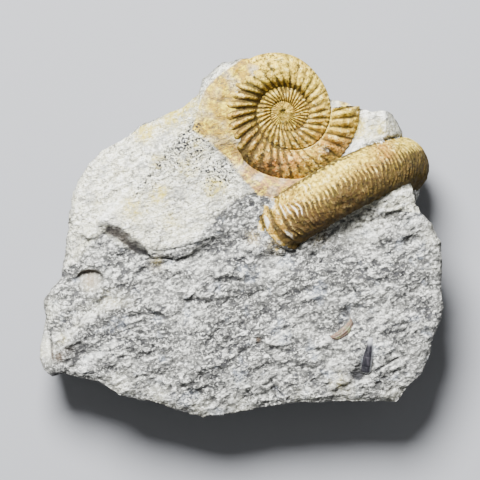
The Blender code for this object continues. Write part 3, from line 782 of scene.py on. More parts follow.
hub = place(235, 257)
outline = trace(
    (262, 59), (290, 64), (310, 78), (324, 95), (331, 98), (345, 101), (357, 106), (372, 111),
    (388, 110), (394, 114), (403, 128), (410, 150), (412, 180), (416, 205), (432, 224), (442, 242),
    (444, 264), (443, 290), (445, 308), (441, 322), (435, 340), (430, 360), (424, 373), (407, 390),
    (398, 403), (350, 402), (300, 403), (270, 407), (225, 416), (203, 418), (188, 415), (150, 402),
    (118, 396), (98, 382), (70, 377), (61, 374), (51, 378), (43, 372), (38, 360), (39, 345),
    (44, 318), (42, 300), (60, 278), (65, 240), (70, 200), (77, 180), (88, 163), (101, 150),
    (130, 134), (140, 126), (181, 107), (198, 93), (202, 79), (222, 62), (246, 57)
)
border = [(x - hub[0], y - hub[1]) for x, y in outline]
ledge = trace(
    (97, 214), (103, 220), (120, 228), (133, 236), (143, 247), (152, 257), (163, 257), (176, 259),
    (200, 251), (232, 237), (256, 214), (270, 200),
)
crestTop, crestLow = place(205, 92), place(112, 228)
paleEdge = trace(
    (30, 288), (70, 264), (103, 232), (136, 252), (175, 248), (200, 234), (216, 220), (234, 201),
    (252, 192), (268, 194),
)
skinEdge = trace(
    (243, 58), (225, 71), (211, 82), (202, 95), (196, 116), (193, 130), (207, 141), (227, 158),
    (240, 177), (258, 195), (272, 199), (300, 182),
)
fin = trace((47, 322), (50, 345), (52, 366))  # smooth face at the left corner
ridge = trace((52, 350), (72, 341), (87, 324), (105, 313), (123, 308), (140, 314))
speckBand = trace((202, 118), (196, 126), (184, 138), (160, 164), (136, 194), (130, 202))
# lower edges of scales, from left to right: path in pixels, height and run in mm
creases = [
    ([(180, 299), (192, 296), (207, 297)], 1.3, 5.0),
    ([(213, 279), (228, 273), (247, 282)], 1.3, 4.0),
    ([(262, 338), (272, 344), (290, 345)], 1.5, 5.0),
    ([(278, 382), (287, 383), (298, 382)], 0.7, 3.0),
    ([(327, 392), (340, 386), (352, 382)], 1.1, 4.0),
    ([(183, 363), (198, 372), (210, 367), (223, 362)], 0.6, 3.0),
    ([(420, 257), (432, 262), (441, 268)], 0.9, 3.0),
    ([(246, 248), (258, 253), (274, 251)], 1.3, 3.0),
    ([(137, 247), (150, 247), (163, 248), (190, 242), (215, 236), (240, 229)], 0.5, 3.0),
    ([(140, 300), (158, 312), (178, 318)], 0.9, 4.0),
    ([(120, 345), (150, 352), (176, 348)], 0.9, 5.0),
    ([(300, 300), (322, 296), (340, 302)], 0.9, 4.0),
    ([(250, 300), (272, 305), (290, 299)], 1.0, 4.0),
    ([(376, 330), (394, 331), (408, 327)], 1.1, 3.5),
    ([(372, 371), (386, 362), (404, 356)], 1.2, 3.5),
    ([(146, 378), (172, 384), (200, 380)], 0.8, 4.0),
    ([(305, 350), (330, 345), (345, 350)], 0.8, 3.5),
]
cracks = [  # path in pixels, depth and half width in mm
    ([(146, 250), (163, 251), (190, 245), (214, 238)], 0.7, 0.42),
    ([(232, 322), (246, 330), (262, 331)], 0.6, 0.5),
    ([(384, 330), (400, 323), (414, 322)], 0.7, 0.45),
    ([(374, 372), (388, 364), (402, 355)], 0.7, 0.45),
    ([(350, 281), (353, 287), (358, 294)], 1.0, 0.45),
    ([(344, 307), (348, 315)], 0.9, 0.45),
    ([(269, 375), (275, 388), (286, 398)], 0.9, 0.42),
    ([(371, 210), (372, 226), (381, 242), (387, 251)], 0.45, 0.5),
    ([(346, 238), (352, 248), (357, 260), (362, 280)], 0.45, 0.5),
    ([(243, 382), (267, 362)], 0.35, 0.4),
    ([(249, 386), (273, 366)], 0.35, 0.4),
    ([(49, 325), (51, 345), (52, 364)], 1.0, 0.6),
]


def withReach(lines, reach):  # traced in mm, with the box in which they matter
    traced = []
    for path, height, width in lines:
        path = trace(*path)
        room = reach + 2.5 * width
        (left, right), (low, high) = ((min(values), max(values)) for values in zip(*path))
        traced.append((path, height, width, (left - room, right + room, low - room, high + room)))
    return traced


def linesNear(lines, x, y):  # those whose box holds the point
    for path, height, width, (left, right, low, high) in lines:
        if left < x < right and low < y < high:
            gap, side, share = alongPath(path, x, y)
            yield height, width, gap, side, between(0.0, 0.2, 0.8, 1.0, share)


creases, cracks = withReach(creases, 1.0), withReach(cracks, 1.5)


def outlineRadius(angle):
    dx, dy = cos(angle), sin(angle)
    for (ax, ay), (bx, by) in zip(border, border[1:] + border[:1]):
        sideA = dx * ay - dy * ax
        sideB = dx * by - dy * bx
        if sideA >= 0 > sideB or sideA > 0 >= sideB:
            share = sideA / (sideA - sideB)
            x, y = mix(ax, bx, share), mix(ay, by, share)
            if x * dx + y * dy > 0:
                return hypot(x, y)
    return 0.0


def chippedRadius(angle):  # the traced outline with the small chips of its rim
    radius = outlineRadius(angle)
    x, y = radius * cos(angle), radius * sin(angle)
    return radius - 0.25 + 0.4 * lump(x, y, 0, 4.0, 2.7) + 0.28 * crumb(x, y, 0, 1.8, 5.1)


rimSteps = stone["rimSteps"]
radii = [chippedRadius(tau * i / rimSteps) for i in range(rimSteps)]


def quickRadius(angle):  # the same from a table
    position = (angle / tau % 1.0) * rimSteps
    i = int(position)
    return mix(radii[i % rimSteps], radii[(i + 1) % rimSteps], position - i)


def grainDirections(x, y):
    c, s = cos(stoneGrain), sin(stoneGrain)
    return x * c + y * s, y * c - x * s


def roughFace(x, y):
    level = stone["faceLevel"] + stone["faceSlope"] * (y + 20)
    (left, leftSlope), (right, rightSlope), (low, lowBend) = (
        stone[name] for name in ("leftFall", "rightFall", "lowFall")
    )
    level -= leftSlope * max(0.0, left - x) + rightSlope * max(0.0, x - right)
    level -= lowBend * max(0.0, low - y) ** 2
    level += 1.0 * lump(x, y, 0, 24, 3.1)
    along, across = grainDirections(x, y)
    level += 1.4 * lump(along, across * 2.2, 0, 16, 6.6) + 0.5 * lump(along, across * 2.0, 0, 8, 1.6)
    shoulderX, shoulderY = stone["shoulder"]
    behind = hypot(x - shoulderX, y - shoulderY) / 12.0
    return mix(level, stone["shoulderLevel"], fall(0.7, 1.3, behind))


def plateFace(x, y):
    level = stone["plateLevel"] + 0.02 * y + 0.5 * lump(x, y, 0, 30, 9.4)
    ex, ey = crestLow[0] - crestTop[0], crestLow[1] - crestTop[1]
    beyond = (ey * (x - crestTop[0]) - ex * (y - crestTop[1])) / hypot(ex, ey)
    return level - stone["leftSlope"] * max(0.0, beyond), beyond


def coilNeighbour(x, y, level, wander):  # stone that laps up against the coil and hides under it
    dx, dy = x - coilX, y - coilY
    radius = hypot(dx, dy)
    start = coil["mouthTurn"] - 1
    turn = start + ((atan2(dy, dx) / tau - start) % 1.0)
    edge = coilEdge(turn)
    plane = coil["midLevel"] + coilLean(dx, dy)
    lap = coilLap(turn)
    if radius > edge:
        reach = edge / radius
        rim = coil["midLevel"] + coilLean(dx * reach, dy * reach) + 1.2 + 2.4 * lap
        width = 9.0 if rim > level else 2.5
        level = mix(level, rim, fall(-1.0, width, radius - edge))
        pastMouth = (turn - start) * tau * radius
        outer, inner = coilEdge(coil["mouthTurn"]), coilEdge(coil["mouthTurn"] - 1)
        across = (radius - inner) / (outer - inner)
        if pastMouth < 5.0 and across < 1.15:  # pale sediment that closes the shell's mouth
            cap = plane + coilHeight(coil["mouthTurn"], clamp01(across), 0.92) - 0.16 * pastMouth ** 2
            level = max(level, cap + 0.3 * wander)
        return level, radius - edge
    depthIn = edge - radius
    hidden = plane + 1.2 + 2.4 * lap - 8.0 * smooth(0.7, 2.2, depthIn)
    if lap > 0.02 and depthIn < 6.5 * lap:
        inner = coilEdge(turn - 1)
        across = clamp01((radius - inner) / (edge - inner))
        cover = plane + coilHeight(turn, across) + mix(0.75, -0.9, depthIn / (5.2 * lap + 0.01))
        hidden = max(hidden, cover + 0.4 * wander)
    return hidden, radius - edge


def ledgeForm(x, y, wander):  # the rough lower face, the ledge and the smooth plate over it
    rough = roughFace(x, y)
    plate, beyond = plateFace(x, y)
    gap, side, share = alongPath(ledge, x, y)
    signed = gap * side + wander * 0.8
    faceWidth = mix(3.8, 0.5, smooth(0.34, 0.46, share))
    onTop = smooth(-faceWidth, 0.4 + 7.0 * smooth(0.66, 0.85, share), signed)
    drop = mix(stone["ledgeHeight"], 1.5, smooth(0.36, 0.48, share))
    drop = mix(drop, 0.2, smooth(0.68, 0.95, share))
    step = rough + drop * smooth(0.0, 0.12, share)
    upper = mix(step, plate, smooth(0, 12, gap)) if side > 0 else step
    level = mix(rough, upper, onTop)
    # painted shade on the ledge's face
    grimeAndShade = 1.25 * smooth(-faceWidth - 0.3, -faceWidth + 0.5, signed) * fall(-0.3, 0.7, signed)
    grimeAndShade *= between(0.05, 0.14, 0.38, 0.46, share) * clamp01(0.85 + 0.8 * lump(x, y, 0, 2.6, 1.9))
    # the cut under the ledge's lip, with painted shadow in it
    if side < 0 and gap < 3:
        under = fall(0.1, 0.8, gap) * smooth(0.36, 0.45, share) * fall(0.6, 0.74, share)
        under *= clamp01(0.8 + 0.9 * lump(x, y, 0, 4.0, 7.7))
        level -= stone["underCut"] * under
        grimeAndShade += 0.75 * under
    return level, rough, onTop, beyond, grimeAndShade


def cupForm(x, y, wander):  # the cup-shaped print: its share, the level that it takes away and the painted shade under its upper rim
    dx, dy = x - stone["cup"][0], y - stone["cup"][1]
    cup = hypot(dx, dy * (1.55 if dy > 0 else 1.05)) / stone["cupRadius"] + 0.05 * wander
    bowl = fall(0.8, 1.0, cup)
    depth = stone["cupDepth"] * clamp01((dy + 4.8) / 8.0) - 0.2 * cos(dx * tau / 1.5)
    return bowl, bowl * depth, 3.2 * bowl * smooth(0.76, 1.0, cup) * smooth(-1.0, 3.0, dy)


def underShells(x, y, level, wander):  # the stone stays below the standing shell, or laps onto its end
    crest, beside = wheelCrest(x, y)
    if beside > 0:  # it falls off towards the shell's free end
        level = min(level, crest - 6.5 + 0.8 * beside)
    top = topMap.get(squareAt(x, y))
    if top is None:
        return level
    if x > wheel["bareFrom"]:
        level = min(level, max(top - 1.5, crest - 7.5))
    elif top > level - (2.2 if x > wheel["freeFrom"] else 0.3):
        level = min(level, top - 0.5)
    covered = spots(x, y, wheel["stoneLaps"])
    if covered > 0.12:
        scaly = 0.3 * brokenStone(*grainDirections(x, y), 0.0, 2.2)
        level = max(level, top + 1.6 * (covered + 0.4 * wander - 0.6) + scaly)
    return level


def faceForm(x, y):  # level at a point of the face, and its marks
    wander = 0.7 * lump(x, y, 0, 4.5, 12.3) + 0.35 * lump(x, y, 0, 1.7, 8.8)
    level, rough, onTop, beyond, grimeAndShade = ledgeForm(x, y, wander)
    gap, side, _ = alongPath(paleEdge, x, y)
    pale = onPlate = smooth(-1.2, 1.2, gap * side + wander * 1.4)
    level, pastEdge = coilNeighbour(x, y, level, wander)
    # tan skin, a thin smooth bed with a broken lower edge
    gap, side, _ = alongPath(skinEdge, x, y)
    here = pastEdge < 18 and x - coilX < 16
    skin = smooth(-0.3, 0.3, gap * side + wander * 0.7) if here else 0.0
    level += stone["skinThickness"] * skin * fall(4, 11, pastEdge)
    skinFade = clamp01(0.85 + 0.5 * lump(x, y, 0, 5.0, 3.3)) * (1 - 0.35 * smooth(6, 14, pastEdge))
    bowl, bowlDepth, bowlShade = cupForm(x, y, wander)
    level -= bowlDepth
    grimeAndShade += bowlShade
    gap, side, _ = alongPath(fin, x, y)
    finSmooth = 0.8 * smooth(0.0, 0.6, -gap * side) * fall(1.0, 1.6, abs(y - fin[1][1]) / 8.0)
    for drop, run, gap, side, fade in linesNear(creases, x, y):
        signed = gap * side + wander * 0.9
        over = smooth(-0.5 - 0.8 * drop, 0.5, signed)
        lip, foot = over * exp(-max(0.0, signed) / run), 0.2 * (1 - over) * exp(-gap / 0.7)
        level += drop * fade * (lip - foot)
        # painted shadow at the foot of each step
        grimeAndShade += 0.1 * clamp01(drop) * fade * (1 - over) * exp(-gap / 0.45)
    gap, side, share = alongPath(ridge, x, y)
    onRidge = between(0.0, 0.2, 0.75, 1.0, share)
    level += stone["ridgeHeight"] * exp(-((gap / 3.4) ** 2)) * onRidge
    ridgeTone = onRidge * exp(-(((gap * side + wander) - 0.5) / 4.5) ** 2)
    ridgeTone *= clamp01(gap / 2) * side  # lit above the ridge, dark below it
    for depth, halfWidth, gap, _, fade in linesNear(cracks, x, y):
        cut = fade * fall(0.15, 1.0, abs(gap + wander * 0.5) / halfWidth)
        level -= depth * cut
        # painted shade in the crack
        grimeAndShade += 0.7 * depth * cut
    # broken scales everywhere but on the plate, the skin, the cup and the fin
    rugged = (1 - 0.8 * pale * onTop * (1 - 0.35 * smooth(0, 6, beyond))) * (1 - 0.8 * skin)
    rugged = rugged * (1 - 0.9 * bowl) * (1 - finSmooth) * (0.3 if pastEdge < 0 else 1.0)
    relief = brokenStone(*grainDirections(x, y), 0.0, 4.4)
    level += stone["roughness"] * rugged * ((0.85 + 0.5 * lump(x, y, 0, 15, 2.0)) * relief)
    for px, py, radius, depth in stone["beds"]:  # the small fossils lie in shallow beds
        bedX, bedY = place(px, py)
        bed = fall(0.55, 1.0, hypot(x - bedX, y - bedY) / (radius * scale))
        level = mix(level, rough - depth, bed) if bed > 0 else level
    imprint = spots(x, y, stone["imprint"])
    if imprint > 0.02:
        level += 0.35 * imprint * cos((x * 0.9 - y * 0.43) * tau / stone["imprintPitch"])
    level = underShells(x, y, level, wander)
    gap, _, share = alongPath(speckBand, x, y)
    speck = spots(x, y, stone["speckSpots"])
    speck += 0.6 * exp(-((gap / 2.0) ** 2)) * between(0.0, 0.2, 0.8, 1.0, share)
    # adds pale stone and painted light from the spot list, and takes away grey patches and painted
    # shade
    pale += spots(x, y, stone["paleAndLitSpots"]) - spots(x, y, stone["greyAndShadeSpots"])
    return level, (
        clamp01(pale + 0.5 * max(0.0, ridgeTone)),
        clamp01(skin * skinFade * 1.15 + spots(x, y, stone["filmSpots"])),
        clamp01(grimeAndShade + spots(x, y, stone["grimeAndShadeSpots"]) - 0.35 * min(0.0, ridgeTone)),
        clamp01(speck * (0.4 + 0.8 * onPlate)),
        spots(x, y, stone["yellowSpots"]),
        spots(x, y, stone["blushSpots"]),
        spots(x, y, stone["brownSpots"]),
        clamp01(0.8 * bowl + finSmooth),
    )


stoneMarks = ("pale", "film", "grimeAndShade", "speck", "yellow", "blush", "rust", "still")
sideMarks = (0.15, 0.0, 0.0, 0.05, 0.0, 0.0, 0.0, 0.0)
heelAngle = atan2(stone["heel"][1] - hub[1], stone["heel"][0] - hub[0])


def sideRadius(angle, z, top):
    cx, cy = 30 * cos(angle), 30 * sin(angle)
    widest = stone["widestLevel"] + 7 * lump(cx, cy, 0, 22, 5.7)
    slant = 0.05 * lump(cx, cy, 0, 26, 2.9) * (z - widest) / stone["widestLevel"]
    full = quickRadius(angle + slant * smooth(0, 6, top - z))
    under = 0.2 + 0.22 * lump(cx, cy, 0, 15, 1.3)
    over = stone["topInset"] / max(top - widest, 6.0)
    inset = max(0.03, under) * max(0.0, widest - z) + over * max(0.0, z - widest)
    x, y = full * cos(angle), full * sin(angle)
    dent = min(0.4, 1.1 * lump(x, y, z * 1.4, 13, 7.7))
    heel = 6.0 * exp(-(((angle - heelAngle) / 0.16) ** 2)) * fall(14, 26, z)
    relief = dent + min(0.7, brokenStone(x * 0.8, z * 0.9, y * 0.8, 7.1))
    relief = relief * smooth(0, 3, top - z) * smooth(-3, 4, z)
    upperPart = smooth(widest - 8, top, z)
    return full - inset + heel + min(relief, mix(relief, -0.1, upperPart))


def blur(values, rounds):  # rows and columns of a grid, averaged with their neighbours
    for _ in range(rounds):
        wide = np.pad(values, 1, mode="edge")
        values = (wide[:-2, 1:-1] + wide[2:, 1:-1] + wide[1:-1, :-2] + wide[1:-1, 2:] + values) / 5
    return values


def turnedAway(points, heights):  # slope of a grid of heights against the light from the top left
    xs, ys = (np.array([p[axis] for p in points]).reshape(heights.shape) for axis in (0, 1))
    (zj, zi), (xj, xi), (yj, yi) = np.gradient(heights), np.gradient(xs), np.gradient(ys)
    area = xi * yj - xj * yi
    area = np.where(np.abs(area) < 1e-6, 1e-6, area)
    slopeX, slopeY = (zi * yj - zj * yi) / area, (xi * zj - xj * zi) / area
    return np.clip(0.9 * slopeY - 0.4 * slopeX, -1, 1)


def towardsHub(x, y, share):
    return mix(hub[0], x, share), mix(hub[1], y, share)


def buildStone():
    n = stone["faceCells"]
    shape = Shape(*stoneMarks, "paintedShading")
    points, marks, underWheel, fromRim = [], [], [], []
    for j in range(n + 1):
        for i in range(n + 1):
            u, v = 2 * i / n - 1, 2 * j / n - 1
            u, v = u * sqrt(1 - v * v / 2), v * sqrt(1 - u * u / 2)  # a square grid drawn round
            angle, share = atan2(v, u), min(1.0, hypot(u, v))
            reach = quickRadius(angle) - stone["topInset"]
            x, y = hub[0] + share * reach * cos(angle), hub[1] + share * reach * sin(angle)
            z, values = faceForm(x, y)
            z -= stone["rimDrop"] * fall(0, 1, (1 - share) * reach / stone["rimRound"]) ** 2
            points.append((x, y, z))
            marks.append(values)
            underWheel.append(squareAt(x, y) in topMap)
            fromRim.append(smooth(1.5, 7.0, (1 - share) * reach))
    heights = np.array([p[2] for p in points]).reshape(n + 1, n + 1)
    # painted shading: over 0.5 darker in hollows and on slopes turned away from the key light, under
    # 0.5 lighter on crests and slopes facing it, 0.5 under the standing shell
    paintedShadings = 0.5 + (blur(heights, 3) - heights) * 0.7 + (blur(heights, 25) - heights) * 0.28
    paintedShadings += turnedAway(points, blur(heights, 4)) * 0.42 * np.array(fromRim).reshape(n + 1, n + 1)
    paintedShadings = np.where(underWheel, 0.5, np.clip(paintedShadings, 0, 1).ravel())
    for point, values, paintedShading in zip(points, marks, paintedShadings):
        shape.add(point, *values, paintedShading)
    print("face shaped")

    def spot(i, j):
        return j * (n + 1) + i

    def band(ring, lower):
        shape.faces += list(zip(ring, lower, lower[1:] + lower[:1], ring[1:] + ring[:1]))

    for j in range(n):
        for i in range(n):
            shape.faces.append((spot(i, j), spot(i + 1, j), spot(i + 1, j + 1), spot(i, j + 1)))
    ring = [spot(i, 0) for i in range(n)] + [spot(n, j) for j in range(n)]
    ring += [spot(i, n) for i in range(n, 0, -1)] + [spot(0, j) for j in range(n, 0, -1)]
    tops, rimMarks = [points[k] for k in ring], [marks[k] for k in ring]
    angles = [atan2(y - hub[1], x - hub[0]) for x, y, _ in tops]
    shares = [1 - k / stone["sideRings"] for k in range(1, stone["sideRings"] + 1)]
    out = [[sideRadius(a, top[2] * s, top[2]) for a, top in zip(angles, tops)] for s in shares]
    out = np.array(out)
    # painted shade in the side's hollows, painted light on its bulges
    sidePaintedShading = np.clip(0.5 + (blur(out, 4) - out) * 0.9, 0, 1)
    for share, reaches, sideRow in zip(shares, out, sidePaintedShading):
        lower = []
        for angle, top, values, radius, paintedShading in zip(angles, tops, rimMarks, reaches, sideRow):
            x, y, z = radius * cos(angle), radius * sin(angle), top[2] * share
            fade = smooth(0, 8, top[2] - z + 6.0 * lump(x, y, z, 3.5, 4.1))
            values = (mix(near, far, fade) for near, far in zip(values, sideMarks))
            lower.append(shape.add((hub[0] + x, hub[1] + y, z), *values, paintedShading))
        band(ring, lower)
        ring = lower
    edge = [shape.points[k] for k in ring]
    for k in range(1, stone["baseRings"] + 1):
        lower = []
        for x, y, _ in edge:
            x, y = towardsHub(x, y, 1 - k / (stone["baseRings"] + 1))
            z = max(0.0, 0.6 * brokenStone(x, y, 0.0, 14.2))
            lower.append(shape.add((x, y, z), *sideMarks, 0.5))
        band(ring, lower)
        ring = lower
    middle = shape.add((*hub, 0.3), *sideMarks, 0.5)
    shape.faces += [(a, middle, b) for a, b in zip(ring, ring[1:] + ring[:1])]
    shape.make("stoneBlock", "limestone", "matrix")


buildStone()


# The ammonite that shows its side
def ribRate(turn):  # ribs per turn
    return 36.0 - 5.0 * smooth(0.1, 0.8, turn) + 9.0 * smooth(1.55, 1.85, turn)


tableStart, perTurn, tableSteps = -1.2, 480, 1600  # turn where the table of ribs starts, and its steps
ribTable = [0.0]
for step in range(1, tableSteps + 1):
    ribTable.append(ribTable[-1] + ribRate(tableStart + step / perTurn) / perTurn)


def ribCount(turn):
    position = min(max((turn - tableStart) * perTurn, 0.0), len(ribTable) - 2.0)
    i = int(position)
    return mix(ribTable[i], ribTable[i + 1], position - i)


def coilRib(turn, across, radius, inner):
    middle = mix(inner, coilEdge(turn), 0.35)
    ahead = coil["ribLean"] * (radius - middle) / (tau * max(radius, 1.0))
    wiggle = 0.14 * noise.noise(Vector((turn * 7.0, across * 1.5, 3.0)))
    phase = ribCount(turn - ahead) + wiggle
    primary = ribWave(-phase, mix(0.7, 0.42, smooth(0.6, 1.2, turn)))
    secondary = ribWave(2 * phase + 0.5, 0.8)
    split = smooth(0.72, 0.9, across) * smooth(0.6, 1.1, turn) * (1 - coilLap(turn))
    fade = smooth(-0.95, -0.5, turn) * (1 - 0.85 * coilLap(turn) * smooth(0.55, 0.88, across))
    return mix(primary, 0.55 * secondary, split) * fade + 0.4 * (1 - fade)


def coilPoint(turn, across):  # a point of the side that shows, and its marks
    outer = coilEdge(turn)
    inner = coilEdge(turn - 1) if turn >= 0 else 0.0
    radius = mix(inner, outer, across)
    swell = whorlSwell(across) + 0.05
    rib = coilRib(turn, across, radius, inner)
    x, y, dx, dy = coilSpot(turn, radius)
    f = turn - 1  # share of the last turn
    worn = between(0.1, 0.2, 0.34, 0.42, f) * (0.3 + 0.62 * smooth(0.12, 0.4, across))
    worn += 0.35 * fall(0.1, 0.2, f) * (f > 0)
    worn += 0.55 * smooth(0.6, 0.66, f) * fall(0.86, 0.93, f)
    worn = clamp01(worn + spots(x, y, coil["wear"]))
    height = coilHeight(turn, across, 1 - 0.1 * worn)
    height += rib * coil["ribShare"] * outer * swell ** 0.7 * (1 - 0.72 * worn)
    height += worn * 0.34 * swell * crumb(x, y, 0, 2.2, 21.0) + 0.15 * swell * crumb(x, y, 0, 1.4, 2.0)
    height += 0.25 * crumb(x, y, 0, 1.6, 31.0) * fall(-0.5, 0.1, turn)
    height += 0.3 * swell * lump(x, y, 0, 5.5, 7.0) * smooth(0.9, 1.2, turn)
    z = coil["midLevel"] + coilLean(dx, dy) + height
    upperWall = 0.16 * between(0.05, 0.15, 0.36, 0.44, f)  # the top's inner wall lies in its own shade
    seam = fall(0.0, 0.11 + upperWall, min(across, 1 - across if turn < 1.02 else 1.0))
    lastPart = smooth(1.72, 1.8, turn)  # pale stone fills the seam beside it
    # painted shade in the rib grooves, and painted shadow along the seams between whorls
    shellShadeAndDirt = clamp01(0.45 - 0.55 * rib * (1 - 0.55 * worn)) + (0.5 - 0.8 * lastPart) * seam
    shellShadeAndDirt += spots(x, y, coil["dirtAndShade"]) + 0.4 * between(0.36, 0.42, 0.6, 0.66, f)
    shellShadeAndDirt += 0.22 * smooth(0.6, 0.66, f) * (1 - lastPart)
    specks = max(0.0, crumb(x, y, 0, 1.5, 41.0) - 0.1) * smooth(0.9, 1.2, turn)
    shellShadeAndDirt += 0.6 * (0.25 + worn) * specks
    chalk = spots(x, y, coil["chalk"]) + 0.55 * seam * lastPart
    cream = spots(x, y, coil["cream"]) + 0.5 * seam * lastPart
    return (x, y, z), *(clamp01(m) for m in (shellShadeAndDirt, spots(x, y, coil["rust"]), chalk, cream))


# the buried side, as shares of the edge's radius and depths
underside = [(0.992, 0.7), (0.972, 1.6), (0.94, 2.8), (0.9, 4.2), (0.84, 5.6)]


def buildCoil():
    n, columns = coil["stations"], coil["columns"]
    last = int(round((coil["mouthTurn"] + 1) * n))
    first = last - n  # where the last turn starts, of which the edge is free
    shape = Shape(*shellMarks)
    centre = shape.add((coilX, coilY, coil["midLevel"] + 0.2), 0.9, 0.0, 0.3, 0.0)
    rows, under = [], {}
    for i in range(last + 1):
        turn = i / n - 1
        row = [rows[i - n][columns] if i >= n else centre]
        for k in range(1, columns + 1):
            across = mix(0.5 - 0.5 * cos(pi * k / columns), k / columns, 0.5)
            row.append(shape.add(*coilPoint(turn, across)))
        rows.append(row)
        if i >= first:
            rim = shape.points[row[columns]]
            under[i] = [row[columns]]
            for share, depth in underside:
                rib = ribWave(2 * ribCount(turn - 0.008) + 0.5, 0.9) * fall(1.5, 4.5, depth)
                x, y, dx, dy = coilSpot(turn, share * coilEdge(turn) + 0.16 * rib)
                z = min(coil["midLevel"] + coilLean(dx, dy) - depth, rim[2] - 0.1)
                under[i].append(shape.add((x, y, z), clamp01(0.5 - 0.4 * rib), 0.0, 0.0, 0.0))
    strips = list(zip(rows, rows[1:])) + [(under[i], under[i + 1]) for i in range(first, last)]
    for near, far in strips:
        for corners in zip(near, near[1:], far[1:], far):
            shape.faces.append(tuple(dict.fromkeys(corners)))
    shape.faces.append((centre, *reversed(rows[0][1:])))
    shape.faces.append((*rows[last], *under[last][1:], *reversed(under[first][1:])))
    floor = shape.add((coilX, coilY, coil["midLevel"] - underside[-1][1]), 0.5, 0.0, 0.0, 0.0)
    ring = [under[i][-1] for i in range(first, last + 1)]
    shape.faces += [(a, floor, b) for a, b in zip(ring, ring[1:] + ring[:1])]
    shape.make("coiledShell", "golden_fossil", "ammonite_side")


buildCoil()


# The small fossils in the lower face
rod = {
    "top": place(371, 338),
    "foot": place(366, 373),
    "radius": 1.75,
    "rings": 60,
    "sides": 28,
    "lift": 0.1,  # mm that its axis lies over the face's smooth level
}
scrap = {
    "ends": (place(331, 339), place(353, 321)),
    "width": 3.2,
    "bulge": 2.2,
    "rings": 64,
    "columns": 18,
    "depth": 1.5,
}


def buildRod():
    (ax, ay), (bx, by) = rod["top"], rod["foot"]
    top = Vector((ax, ay, roughFace(ax, ay) + rod["lift"]))
    foot = Vector((bx, by, roughFace(bx, by) + rod["lift"]))
    axis = (foot - top).normalized()
    aside = axis.cross(Vector((0, 0, 1))).normalized()
    out = aside.cross(axis)
    shape, rings = Shape("chalk"), []
    for i in range(rod["rings"] + 1):
        share = i / rod["rings"]
        point = top.lerp(foot, share)
        wide = 0.4 + 0.6 * sin(min(1.0, share / 0.7) * pi / 2) - 0.35 * smooth(0.92, 1.0, share) ** 2
        crack = 0.1 * fall(0.0, 0.012, abs(share - 0.52)) + 0.08 * fall(0, 0.01, abs(share - 0.8))
        ends = 0.5 * smooth(0.95, 1.0, share)
        ring = []
        for k in range(rod["sides"]):
            turn = tau * k / rod["sides"]
            spoke = aside * cos(turn) + out * sin(turn)
            rough = 1 + 0.05 * crumb(point.x + spoke.x, point.y, spoke.z * 2, 1.2, 3.0)
            chalk = clamp01(ends + 0.6 * smooth(0.55, 0.95, spoke.x) + 0.7 * fall(0.05, 0.25, share))
            ring.append(shape.add(point + spoke * rod["radius"] * (wide * rough - crack), chalk))
        rings.append(ring)
    shape.tube(rings)
    shape.make("belemniteRod", "dark_calcite", "belemnite")


def buildScrap():
    (ax, ay), (bx, by) = scrap["ends"]
    along = Vector((bx - ax, by - ay, 0)).normalized()
    aside = Vector((along.y, -along.x, 0))
    middle = Vector(((ax + bx) / 2, (ay + by) / 2, 0))
    half = hypot(bx - ax, by - ay) / 2
    level = roughFace(middle.x, middle.y)
    shape, rings = Shape("shellShadeAndDirt"), []
    for i in range(scrap["rings"] + 1):
        t = 2 * i / scrap["rings"] - 1
        swell = sqrt(max(0.0, 1 - t * t))
        centre = middle + along * half * t + aside * scrap["bulge"] * (swell - 0.5)
        wide = (0.25 + 0.75 * swell) * scrap["width"] / 2
        ring = []
        for k in range(scrap["columns"] + 1):
            s = 2 * k / scrap["columns"] - 1
            high = level + 0.4 + 0.9 * swell - 0.55 * s * s
            high += 0.1 * sin(s * 11) + 0.12 * crumb(centre.x + s, centre.y + s, 0, 1.0, 4.0)
            spot = centre + aside * wide * s + Vector((0, 0, high))
            # the mark darkens one side of the crescent: painted shade
            ring.append(shape.add(spot, clamp01(0.5 + 0.6 * s)))
        for s in (1, -1):  # its buried lower edges
            spot = centre + aside * wide * s + Vector((0, 0, level - scrap["depth"]))
            ring.append(shape.add(spot, 0.5))
        rings.append(ring)
    shape.tube(rings, flip=True)
    shape.make("shellCrescent", "brown_shell", "shell_fragment")


buildRod()
buildScrap()


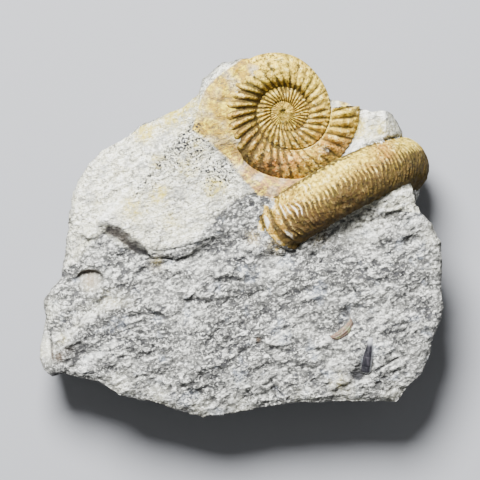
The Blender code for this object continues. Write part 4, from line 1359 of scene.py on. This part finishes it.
# Studio: a pale floor, soft light from the face's top edge and a camera that looks straight down
studio = {
    "floorTone": (0.24, 0.245, 0.26),
    "floorShade": (0.22, 0.225, 0.24),
    "floorReach": 3.0,  # lengths here are in metres
    "floorLevel": -0.0002,
    "keyPower": 108.0,
    "keyPlace": (-0.25, 0.71, 1.14),
    "keySize": 0.6,
    "sky": 0.3,
    "skyTone": (0.98, 0.99, 1.0, 1.0),
    "cameraHeight": 3.0,
    "faceHeight": 0.044,
    "sensor": 36.0,
    "clip": (0.05, 20.0),
    "lampAim": (0, 0, 0.03),
}


def buildFloor():
    mesh = bpy.data.meshes.new("floor")
    reach, level = studio["floorReach"], studio["floorLevel"]
    corners = [(-reach, -reach), (reach, -reach), (reach, reach), (-reach, reach)]
    mesh.from_pydata([(x, y, level) for x, y in corners], [], [(0, 1, 2, 3)])
    f = Finish("floorPaper", 0.9, studio)
    f.colour = f.blend(f.cloud(60.0, 0.0, 2.0, 0.5) * 0.15, "floorTone", "floorShade")
    mesh.materials.append(f.wear())
    floor = bpy.data.objects.new("floor", mesh)
    bpy.context.scene.collection.objects.link(floor)


def addLight(name, power, spot, size):
    light = bpy.data.lights.new(name, "AREA")
    light.energy, light.size, light.shape = power, size, "DISK"
    lamp = bpy.data.objects.new(name, light)
    lamp.location = spot
    lamp.rotation_euler = (Vector(studio["lampAim"]) - Vector(spot)).to_track_quat("-Z", "Y").to_euler()
    bpy.context.scene.collection.objects.link(lamp)


def buildStudio():
    buildFloor()
    addLight("keyLight", studio["keyPower"], studio["keyPlace"], studio["keySize"])
    world = bpy.data.worlds.new("studio")
    world.use_nodes = True
    sky = world.node_tree.nodes["Background"].inputs
    sky["Color"].default_value, sky["Strength"].default_value = studio["skyTone"], studio["sky"]
    bpy.context.scene.world = world
    data = bpy.data.cameras.new("camera")
    camera = bpy.data.objects.new("camera", data)
    height = studio["cameraHeight"]
    half = photo["pixels"] / 2
    camera.location = inFrame(*place(half, half), height * 1000)
    data.sensor_width = studio["sensor"]
    data.lens = studio["sensor"] * (height - studio["faceHeight"]) / (photo["pixels"] * scale / 1000)
    data.clip_start, data.clip_end = studio["clip"]
    bpy.context.scene.collection.objects.link(camera)
    bpy.context.scene.camera = camera


buildStudio()
print("studio set")
